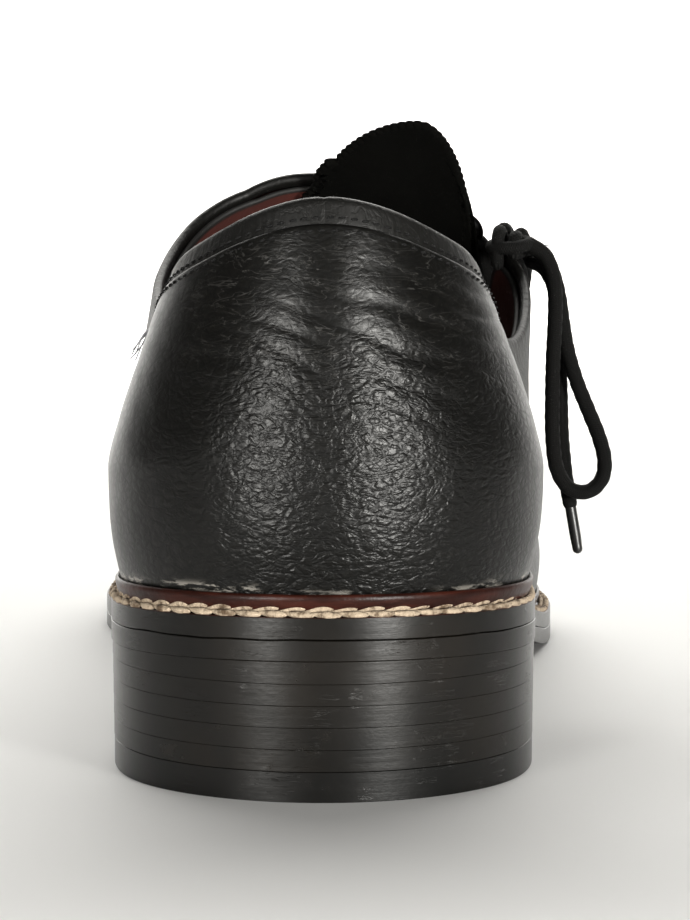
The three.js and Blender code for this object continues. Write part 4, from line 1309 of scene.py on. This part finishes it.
def panel_curves(drop, back, count_across, count_up):
    """The heel panel's four edges as signed place and up: round the feather edge, under the collar
    and up both fronts."""
    sides = []
    for side in (-1, 1):
        up = np.linspace(0, 0.98, 220)
        turn = up if side > 0 else 2 - up
        q = edge_over(PANEL_FRONT, turn, back, 0.3, 8)
        p = arch(q, turn)[0]
        place = q if side > 0 else ROUND - q
        over = p[:, 2] - (collar_height(place) - drop)
        last = int(np.argmax(over > 0))
        share = -over[last - 1] / (over[last] - over[last - 1])
        end = (lerp(q[last - 1], q[last], share), lerp(up[last - 1], up[last], share))
        sides.append(np.concatenate([np.stack([side * q, up], -1)[:last], [[side * end[0], end[1]]]]))
    left, right = sides
    real = lambda curve: signed(curve[:, 0], curve[:, 1])[0]
    bottom = np.stack([np.linspace(left[0, 0], right[0, 0], 200), np.zeros(200)], -1)
    places = np.linspace(left[-1, 0], right[-1, 0], 300)
    top = np.stack([places, up_below_collar(places, drop)], -1)
    top[0], top[-1] = left[-1], right[-1]
    return (
        evenly(bottom, count_across, real), evenly(top, count_across, real),
        evenly(left, count_up, real), evenly(right, count_up, real),
    )


def signed(place, up):
    """Point and outward direction where the place is counted from the back of the heel, positive
    on the lateral side."""
    turn = np.where(place >= 0, up, 2 - up)
    return arch(np.abs(place), turn)


class HAFERL_OT_heel_panel(bpy.types.Operator):
    """Add the grained panel round the back of the heel"""

    bl_idname = "haferl.heel_panel"
    bl_label = "Heel panel"

    def execute(self, context):
        sizes, colours = settings()
        finish = grain_leather("panel_leather", tuple(colours.panel), sizes.grain, sizes.grain_depth)
        grid = coons(*panel_curves(PANEL_DROP, PANEL_BACK, 290, 130))
        p, n = signed(grid[..., 0], grid[..., 1])
        skived = smoothstep(grid[..., 1], 0.02, 0.16)
        high = lerp(0.75, PANEL_STEP, skived)
        high = high + waves(p, sizes.waviness * 1000, 21) * skived + panel_creases(p)
        middle = np.exp(-(((p[..., 0] - 4) / 27) ** 4))
        tumble = lerp(0.16, 1.0, middle) * lerp(1.0, 0.3, smoothstep(p[..., 2], 64, 80))
        # Share of the painted highlight on fine wrinkle lines: the middle of the panel, high under the
        # collar.
        dry = np.exp(-(((p[..., 0] - 2) / 22) ** 4))
        dry = dry * smoothstep(p[..., 2], 60, 74) * (1 - smoothstep(p[..., 2], 86, 91))
        fields = {"scuff": scuffed(p), "tumble": tumble, "dry": dry}
        shape = leather_sheet(p, n, high, 0.25, fields, rim_steps=6)
        make_piece("heel_leather_panel", shape, finish, ("heel_panel",), "panel_leather")
        return {"FINISHED"}


def panel_creases(p):
    """Soft creases high on the panel where the ankle bends it, strongest on the lateral side."""
    side = np.exp(-(((p[..., 0] - 17) / 13) ** 2 + ((p[..., 2] - 74) / 11) ** 2))
    middle = 0.5 * np.exp(-(((p[..., 0] + 12) / 18) ** 2 + ((p[..., 2] - 72) / 9) ** 2))
    phase = (p[..., 2] + 0.5 * p[..., 0] + 5 * lumps(p, 14, 31)) / 5.5
    return -0.3 * (side + middle) * (0.5 + 0.5 * np.sin(2 * np.pi * phase)) ** 2


def scuffed(p):
    """Share of scuffed finish: streaks just over the welt."""
    height = p[..., 2] - sole_top(p[..., 1])
    low = np.exp(-(((height - 4.4) / 0.7) ** 2))
    return low * smoothstep(lumps(p * (0.35, 0.35, 1.0), 4.0, 51), 0.05, 0.45)


def pinked(side, y, pitch):
    """A flat grid whose first row, last column and last row are drawn into teeth: half waves of a
    sine outwards along the edge, which fade out 2.5 mm inside it."""
    flat = np.stack([side, y], -1)
    edge = np.concatenate([flat[0], flat[1:, -1], flat[-1, ::-1][1:]])
    real = arch(place_along(edge[:, 1]), turn_across(edge[:, 1], edge[:, 0]))[0]
    way = unit(np.gradient(edge, axis=0))
    out = np.stack([way[:, 1], -way[:, 0]], -1)
    out = out * np.sign(((edge - edge.mean(0)) * out).sum())
    tooth = np.abs(np.sin(np.pi * distances(real) / pitch)) - 0.8
    moved = []
    for row in flat:
        gap = np.linalg.norm(row[:, None] - edge[None], axis=-1)
        near = gap.argmin(axis=1)
        share = 1 - smoothstep(gap.min(axis=1), 0.0, 2.5)
        moved.append(row + out[near] * (0.75 * tooth[near] * share)[:, None])
    return np.moveaxis(np.array(moved), -1, 0)


class HAFERL_OT_tongue(bpy.types.Operator):
    """Add the suede tongue with its pinked edge"""

    bl_idname = "haferl.tongue"
    bl_label = "Tongue"

    def execute(self, context):
        sizes, colours = settings()
        finish = suede("tongue_suede", tuple(colours.tongue))
        across = -np.cos(np.linspace(0, np.pi, 261))[:, None]
        back = np.sqrt(np.linspace(0, 1, 120))[None, :]
        inner_half = across < TONGUE_PEAK
        b = np.abs(across - TONGUE_PEAK) / np.where(inner_half, 1 + TONGUE_PEAK, 1 - TONGUE_PEAK)
        end = TONGUE_END + TONGUE_SHOULDER * b ** np.where(inner_half, 1.25, 1.8)
        y = lerp(TONGUE_FRONT, end, back)
        narrow = smoothstep(back, 0.8, 0.98)
        side = lerp(lerp(46.0, 43.0, narrow), lerp(-9.0, 5.0, narrow), (across + 1) / 2)
        side, y = pinked(side, y, sizes.pinking * 1000)
        p, n = arch(place_along(y), turn_across(y, side))
        outer = -(WALL + 1.5 * GAP)
        shape = leather_sheet(p, n, outer, outer - TONGUE_THICKNESS, rim_steps=3)
        make_piece("suede_tongue", shape, finish, ("tongue",), "suede")
        return {"FINISHED"}


def sole_layer(reach, low, high, end=None, chamfer=0.13):
    """One layer of the sole or heel: cross sections from one side to the other, each a flat top and
    bottom with chamfered edges. reach is a function of the section, low and high of a point. A layer
    with an end stops there in a flat face."""
    steps, crowding = (170, 0.55) if end is None else (85, 0.35)
    t = np.linspace(0, 1, steps)
    last = TOE if end is None else float(place_along(end))
    places = last * (t - crowding * np.sin(2 * np.pi * t) / (2 * np.pi))
    lateral, medial = section(places), section(ROUND - places)

    def ring(s, draw, height):
        p = in_section(s, np.maximum(0.0, reach(s) - draw), 0.0)
        p[..., 2] = height(p)
        return p

    def row(height):
        a, b = ring(medial, chamfer, height), ring(lateral, chamfer, height)
        line = lerp(a[:, None], b[:, None], np.linspace(0, 1, 11)[None, :, None])
        line[..., 2] = height(line)
        return line

    def side(s):
        at = lambda k: ring(s, 0, lambda p: lerp(low(p) + chamfer, high(p) - chamfer, k))
        return [at(k) for k in (0.0, 0.33, 0.66, 1.0)]

    right = np.stack(side(lateral), 1)
    left = np.stack(side(medial)[::-1], 1)
    loops = np.concatenate([row(low), right, row(high)[:, ::-1], left], 1)
    shape = Shape(loops, grid_quads(*loops.shape[:2], close_columns=True))
    if end is None:
        return shape
    face = loops[-1]
    middle = face.mean(0)
    rings = np.stack([face, face * 0.5 + middle * 0.5, middle + 0 * face])
    return shape + Shape(rings, grid_quads(*rings.shape[:2], close_columns=True))


class HAFERL_OT_sole(bpy.types.Operator):
    """Add the outsole, the midsole, the stacked heel and the inner sole"""

    bl_idname = "haferl.sole"
    bl_label = "Sole and heel"

    def execute(self, context):
        _, colours = settings()
        inks = tuple(colours.edge), tuple(colours.worn_edge)
        edge = edge_leather("sole_edge", *inks)
        stack = edge_leather("heel_edge", *inks)
        tread = edge_leather("heel_rubber", (0.0028, 0.0028, 0.0026), (0.005, 0.0045, 0.004))
        sock = lining_leather("sock_leather", shade(colours.lining, 0.8), tuple(colours.quarter))

        def under(depth, wave=0.0):
            return lambda p: sole_top(p[..., 1]) - depth + wave * lumps(p * (1, 1, 0), 5.0, 71)

        def level(height, wave=0.0, seed=0):
            return lambda p: height + wave * lumps(p * (1, 1, 0), 7.0, seed)

        def sole(draw):
            return lambda s: s["edge"] - draw

        def heel(height):
            return sole(0.12 + HEEL_TAPER * (1 - height / SEAT))

        def inner(s):
            return s["feather"] - WALL - 2 * GAP

        def add(name, layer, finish, node, slot):
            make_piece(name, sole_layer(*layer), finish, (node,), slot, sharp=40)

        joint = TREAD - OUTSOLE
        add("outsole_edge", (sole(0.02), under(TREAD), under(joint, 0.13)), edge, "outsole", "sole_leather")
        layer = sole(0.05), under(joint - 0.12, 0.13), under(0.05), None, 0.1
        add("midsole_edge", layer, edge, "midsole", "sole_leather")
        layer = heel(2.5), level(0.0), level(TOP_PIECE, 0.05, 80), BREAST, 0.12
        add("heel_tread", layer, tread, "top_piece", "heel_rubber")
        for k in range(LIFTS):
            low = TOP_PIECE + k * LIFT
            faces = level(low + 0.02, 0.05, 80 + k), level(low + LIFT, 0.05, 81 + k)
            layer = heel(low + LIFT / 2), *faces, BREAST, 0.05
            add(f"heel_layer_{k + 1}", layer, stack, f"heel_lift_{k + 1}", "heel_leather")
        seat = TOP_PIECE + LIFTS * LIFT
        layer = heel(SEAT - 8), level(seat + 0.02, 0.05, 84), under(TREAD + 0.03), BREAST, 0.06
        add("heel_seat", layer, stack, "heel_wedge", "heel_leather")
        layer = inner, under(FLANGE - GAP), under(FLANGE - GAP - INSOLE), None, 0.6
        add("inner_sole", layer, sock, "insole", "lining")
        return {"FINISHED"}


def low_wall(place, height, out):
    """Point at a height over the top of the welt and a distance outside the wall."""
    s = section(place)
    goal = sole_top(s["y"] + s["out_y"] * s["feather"]) + height
    up = solve(lambda u: wall_reach_height(s, u)[1] - goal, np.zeros_like(place), BELLY_AT)
    return wall(place, up) + wall_normal(place, up) * np.asarray(out)[..., None]


def welt_stand_off(place):
    """How far the welt's lip stands off the last: it clears the heel panel, the quarters and the
    vamp in turn."""
    y = wall(place, np.zeros_like(place))[..., 1]
    behind = 1 - smoothstep(y, 84, 94)
    ahead = smoothstep(y, 126, 136)
    return 0.82 * behind + (1 - behind) * lerp(0.9, 0.12, ahead)


class HAFERL_OT_welt(bpy.types.Operator):
    """Add the welt with its lip and the braided seam of natural thread on it"""

    bl_idname = "haferl.welt"
    bl_label = "Welt and braided seam"

    def execute(self, context):
        sizes, colours = settings()
        finish = welt_leather("welt_wax", tuple(colours.welt))
        places = round_places(640)
        stand = welt_stand_off(places)
        s = section(places)
        top = sole_top(s["y"] + s["out_y"] * s["edge"])
        profile = [low_wall(places, height, stand + off) for height, off in WELT_LIP]
        shelf = low_wall(places, 0.3, stand + 1.05)
        edge = in_section(s, s["edge"] - 0.12, top)
        flange = [lerp(shelf, edge + (0, 0, 0.05), t) for t in (0.0, 0.5, 0.85)]
        rim = [edge, in_section(s, s["edge"] - 0.08, top - 0.12), in_section(s, s["edge"] - 0.3, top - 0.5)]
        base = in_section(s, s["feather"] + stand, s["foot"])
        loops = np.stack(profile + flange + rim + [base], 1)
        shape = Shape(loops, grid_quads(*loops.shape[:2], close_rows=True, close_columns=True))
        make_piece("welt_band", shape, finish, ("welt",), "welt_leather")
        linen = spun_thread("linen_thread", tuple(colours.welt_thread), (0.1, 0.066, 0.04), 1100)
        make_piece("braided_seam", braided_seam(sizes), linen, weld=False)
        return {"FINISHED"}


def round_places(count):
    """Places once round the shoe at nearly equal steps of the sole's edge."""
    t = np.linspace(0, ROUND, 4000)
    s = section(t)
    curve = np.concatenate([in_section(s, s["edge"], 0.0), t[:, None]], 1)
    even = evenly(curve, count + 1, lambda c: c[:, :3])
    return even[:-1, 3]


def braided_seam(sizes):
    """Chain stitch: pairs of drop-shaped links of thick thread, each head over the next link's tail.
    The inner row leans up against the welt's lip, and lies flatter where the welt is wide."""
    s = section(np.linspace(0, ROUND, 4000))
    around = distances(in_section(s, s["edge"], 0.0))[-1]
    count = int(round(around / (sizes.welt_stitch * 1000)))
    places = round_places(count)
    s = section(places)
    wide = np.clip((s["edge"] - s["feather"] - 3.6) / 2.2, 0, 1)
    top = sole_top(s["y"] + s["out_y"] * s["edge"])
    tilt = np.radians(lerp(46.0, 8.0, wide))
    middle = in_section(s, s["edge"] - lerp(1.05, 1.9, wide), top + lerp(0.82, 0.6, wide))
    ahead = unit(np.roll(middle, -1, 0) - np.roll(middle, 1, 0))
    out = np.stack([s["out_x"], s["out_y"], np.zeros_like(wide)], -1)
    out = unit(out - ahead * (out * ahead).sum(-1, keepdims=True))
    up = np.array([0, 0, 1.0]) + 0 * out
    lift = unit(up * np.sin(tilt)[:, None] - out * np.cos(tilt)[:, None])
    face = np.cross(ahead, lift)
    face = face * np.sign(face[:, 2:])
    pitch = around / count
    radius = sizes.welt_thread * 500
    neck = 0.62
    round_off = np.sin(np.radians([18, 36, 54, 70, 82, 90]))
    t = np.concatenate([np.linspace(0, neck, 7), lerp(neck, 1, round_off)])
    head = np.sqrt(np.clip(1 - ((t - neck) / (1 - neck)) ** 2, 0.0, 1))
    fat = radius * np.where(t < neck, lerp(0.42, 1.12, smoothstep(t, 0.0, 0.6)), 1.12 * head)
    angle = np.linspace(0, 2 * np.pi, 9)[:-1]
    around_it = np.stack([0 * angle, np.cos(angle), np.sin(angle)], -1)
    link = []
    for way, shift, size in ((1, -0.45, 0.92), (-1, 0.35, 1.0)):
        x = lerp(-0.72, 0.52, t) * pitch + shift
        spread = way * lerp(0.16, 0.68, smoothstep(t, 0.0, 0.55))
        rise = lerp(-0.3, 0.04, smoothstep(t, 0.0, 0.6)) - 0.1 * smoothstep(t, 0.7, 1.0)
        body = np.stack([x, spread, rise], -1)[:, None] + around_it[None] * (size * fat)[:, None, None]
        start = body[:1].mean(1, keepdims=True) + 0 * body[:1]
        body = np.concatenate([start, body])
        link.append(Shape(body, grid_quads(len(body), 8, close_columns=True)))
    both = joined(link)
    jitter = np.random.default_rng(5).normal(0, 0.05, (count, 3))
    return repeated(both.points, both.quads, middle + jitter, ahead, lift, face)


def stitch_row(path, normals, pitch, seed):
    """Threads in a row: each is a small bar with sunk ends, set a little askew."""
    run = distances(path)
    count = max(2, int(run[-1] / pitch))
    rng = np.random.default_rng(seed)
    goal = (np.arange(count) + 0.5) * run[-1] / count + rng.normal(0, 0.04 * pitch, count)
    pick = lambda v: np.stack([np.interp(goal, run, v[:, k]) for k in range(3)], -1)
    up = unit(pick(normals))
    ahead = unit(pick(np.gradient(path, axis=0)))
    side = unit(np.cross(up, ahead))
    askew = (STITCH_SLANT + rng.normal(0, 0.05, count))[:, None]
    ahead, side = unit(ahead + side * askew), unit(side - ahead * askew)
    t = np.linspace(-1, 1, 6)[:, None]
    angle = np.linspace(0, 2 * np.pi, 7)[None, :-1]
    fat = STITCH_WIDTH / 2 * np.sqrt(np.clip(1 - t**2, 0, 1)) ** 0.6
    body = np.stack(np.broadcast_arrays(
        t * STITCH_SHARE * pitch / 2,
        fat * np.cos(angle),
        STITCH_HEIGHT * (1 - t**2) - 0.12 + 0.7 * fat * np.sin(angle),
    ), -1)
    return repeated(body.reshape(-1, 3), grid_quads(6, 6, close_columns=True), pick(path), ahead, side, up)


def collar_line(drop, low, high, count=400):
    """Points and normals at a drop below the collar's edge, between two signed places."""
    place = np.linspace(low, high, count)
    return signed(place, up_below_collar(place, drop))


def front_line(outline, side, back, low_up, high_up, count=200):
    """Points and normals along a side view's edge, moved back by a distance."""
    up = np.linspace(low_up, high_up, count)
    turn = up if side > 0 else 2 - up
    return arch(edge_over(outline, turn, back, 0.3, 9), turn)


class HAFERL_OT_stitching(bpy.types.Operator):
    """Add the rows of stitches in the upper and the loose thread tails"""

    bl_idname = "haferl.stitching"
    bl_label = "Stitching"

    def execute(self, context):
        sizes, colours = settings()
        pitch = sizes.stitch * 1000
        black = spun_thread("seam_thread", tuple(colours.thread), shade(colours.thread, 0.5), 1600)
        white = spun_thread("loose_thread", (0.4, 0.4, 0.43), (0.12, 0.12, 0.13), 1600)
        _, _, left, right = panel_curves(PANEL_DROP, PANEL_BACK, 20, 20)
        rows = []

        def row(line, lift, seed):
            p, n = line
            rows.append(stitch_row(p + n * lift, n, pitch, seed))

        row(collar_line(BAND - 0.75, left[-1, 0] - 0.1, right[-1, 0] + 0.1), QUARTER_STEP + 0.02, 1)
        row(collar_line(BAND + 1.4, left[-1, 0] * 0.985, right[-1, 0] * 0.985), PANEL_STEP, 2)
        for side, top in ((-1, left[-1, 1]), (1, right[-1, 1])):
            row(front_line(PANEL_FRONT, side, 1.7, 0.1, top * 0.985), PANEL_STEP, 3)
            row(front_line(PANEL_FRONT, side, 3.6, 0.1, top * 0.97), PANEL_STEP, 4)
        for medial, throat in ((False, 97), (True, 104)):
            for inset in (1.6, 3.4):
                _, top, _, front = quarter_outline(medial, 1.0 + inset, 0.4 + inset, 1.0 + inset, 500, 200)
                row(arch(*front[12:].T), QUARTER_STEP, 5)
                p, n = arch(*top.T)
                ahead = p[:, 1] > throat
                row((p[ahead], n[ahead]), QUARTER_STEP, 6)
        make_piece("seam_stitches", joined(rows), black, weld=False)
        make_piece("thread_tails", thread_tails(), white, weld=False)
        return {"FINISHED"}


def thread_tails():
    """Frayed ends of seam thread: short fine strands that spread from one point."""
    rng = np.random.default_rng(9)
    parts = []
    for start, stop, count in THREAD_TAILS:
        start, stop = np.array(start), np.array(stop)
        for _ in range(count):
            end = stop + rng.normal(0, 0.7, 3)
            middle = (start + end) / 2 + rng.normal(0, 0.35, 3)
            parts.append(tube(through([start, middle, end], 0.4), 0.13, 5))
    return joined(parts)


class HAFERL_OT_eyelets(bpy.types.Operator):
    """Add the black eyelets"""

    bl_idname = "haferl.eyelets"
    bl_label = "Eyelets"

    def execute(self, context):
        finish = hard_tip("eyelet_enamel", (0.012, 0.012, 0.012))
        angle = np.linspace(0, 2 * np.pi, 33)[:-1, None]
        high, low = QUARTER_STEP, -WALL
        profile = np.array([
            (1.75, low), (1.75, high), (1.85, high + 0.22), (2.15, high + 0.34), (2.6, high + 0.28),
            (2.95, high + 0.08), (3.0, high - 0.1), (2.0, high - 0.1), (1.98, low + 0.1),
            (2.6, low + 0.02), (2.7, low - 0.12), (2.1, low - 0.2),
        ])
        parts = []
        for middle, axis in zip(*eyelet_places()):
            side = unit(np.cross(axis, (0, 1, 0)))
            ring = side * np.cos(angle) + np.cross(axis, side) * np.sin(angle)
            loops = middle + ring[:, None] * profile[None, :, :1] + axis * profile[None, :, 1:]
            quads = grid_quads(*loops.shape[:2], close_rows=True, close_columns=True)
            parts.append(Shape(loops, quads))
        make_piece("eyelets", joined(parts), finish, slot="aglet", weld=False, sharp=50)
        return {"FINISHED"}


class HAFERL_PT_panel(bpy.types.Panel):
    """Sizes, colours and pieces of the shoe"""

    bl_idname = "HAFERL_PT_panel"
    bl_label = "Haferl Shoe"
    bl_space_type = "VIEW_3D"
    bl_region_type = "UI"
    bl_category = "Haferl Shoe"

    def draw(self, context):
        layout = self.layout
        for group in (context.scene.haferl_sizes, context.scene.haferl_colours):
            box = layout.box()
            for key in group.__annotations__:
                box.prop(group, key)
        for operator in OPERATORS:
            layout.operator(operator.bl_idname)


OPERATORS = (
    HAFERL_OT_stage,
    HAFERL_OT_lace,
    HAFERL_OT_sole,
    HAFERL_OT_welt,
    HAFERL_OT_vamp,
    HAFERL_OT_quarters,
    HAFERL_OT_heel_panel,
    HAFERL_OT_tongue,
    HAFERL_OT_eyelets,
    HAFERL_OT_stitching,
)
CLASSES = (HaferlSizes, HaferlColours, *OPERATORS, HAFERL_PT_panel)


def register():
    for item in CLASSES:
        bpy.utils.register_class(item)
    bpy.types.Scene.haferl_sizes = bpy.props.PointerProperty(type=HaferlSizes)
    bpy.types.Scene.haferl_colours = bpy.props.PointerProperty(type=HaferlColours)


def unregister():
    del bpy.types.Scene.haferl_colours
    del bpy.types.Scene.haferl_sizes
    for item in reversed(CLASSES):
        bpy.utils.unregister_class(item)


def main():
    register()
    bpy.ops.haferl.stage()
    bpy.ops.haferl.lace()
    bpy.ops.haferl.sole()
    bpy.ops.haferl.welt()
    bpy.ops.haferl.vamp()
    bpy.ops.haferl.quarters()
    bpy.ops.haferl.heel_panel()
    bpy.ops.haferl.tongue()
    bpy.ops.haferl.eyelets()
    bpy.ops.haferl.stitching()


if __name__ == "__main__":
    main()
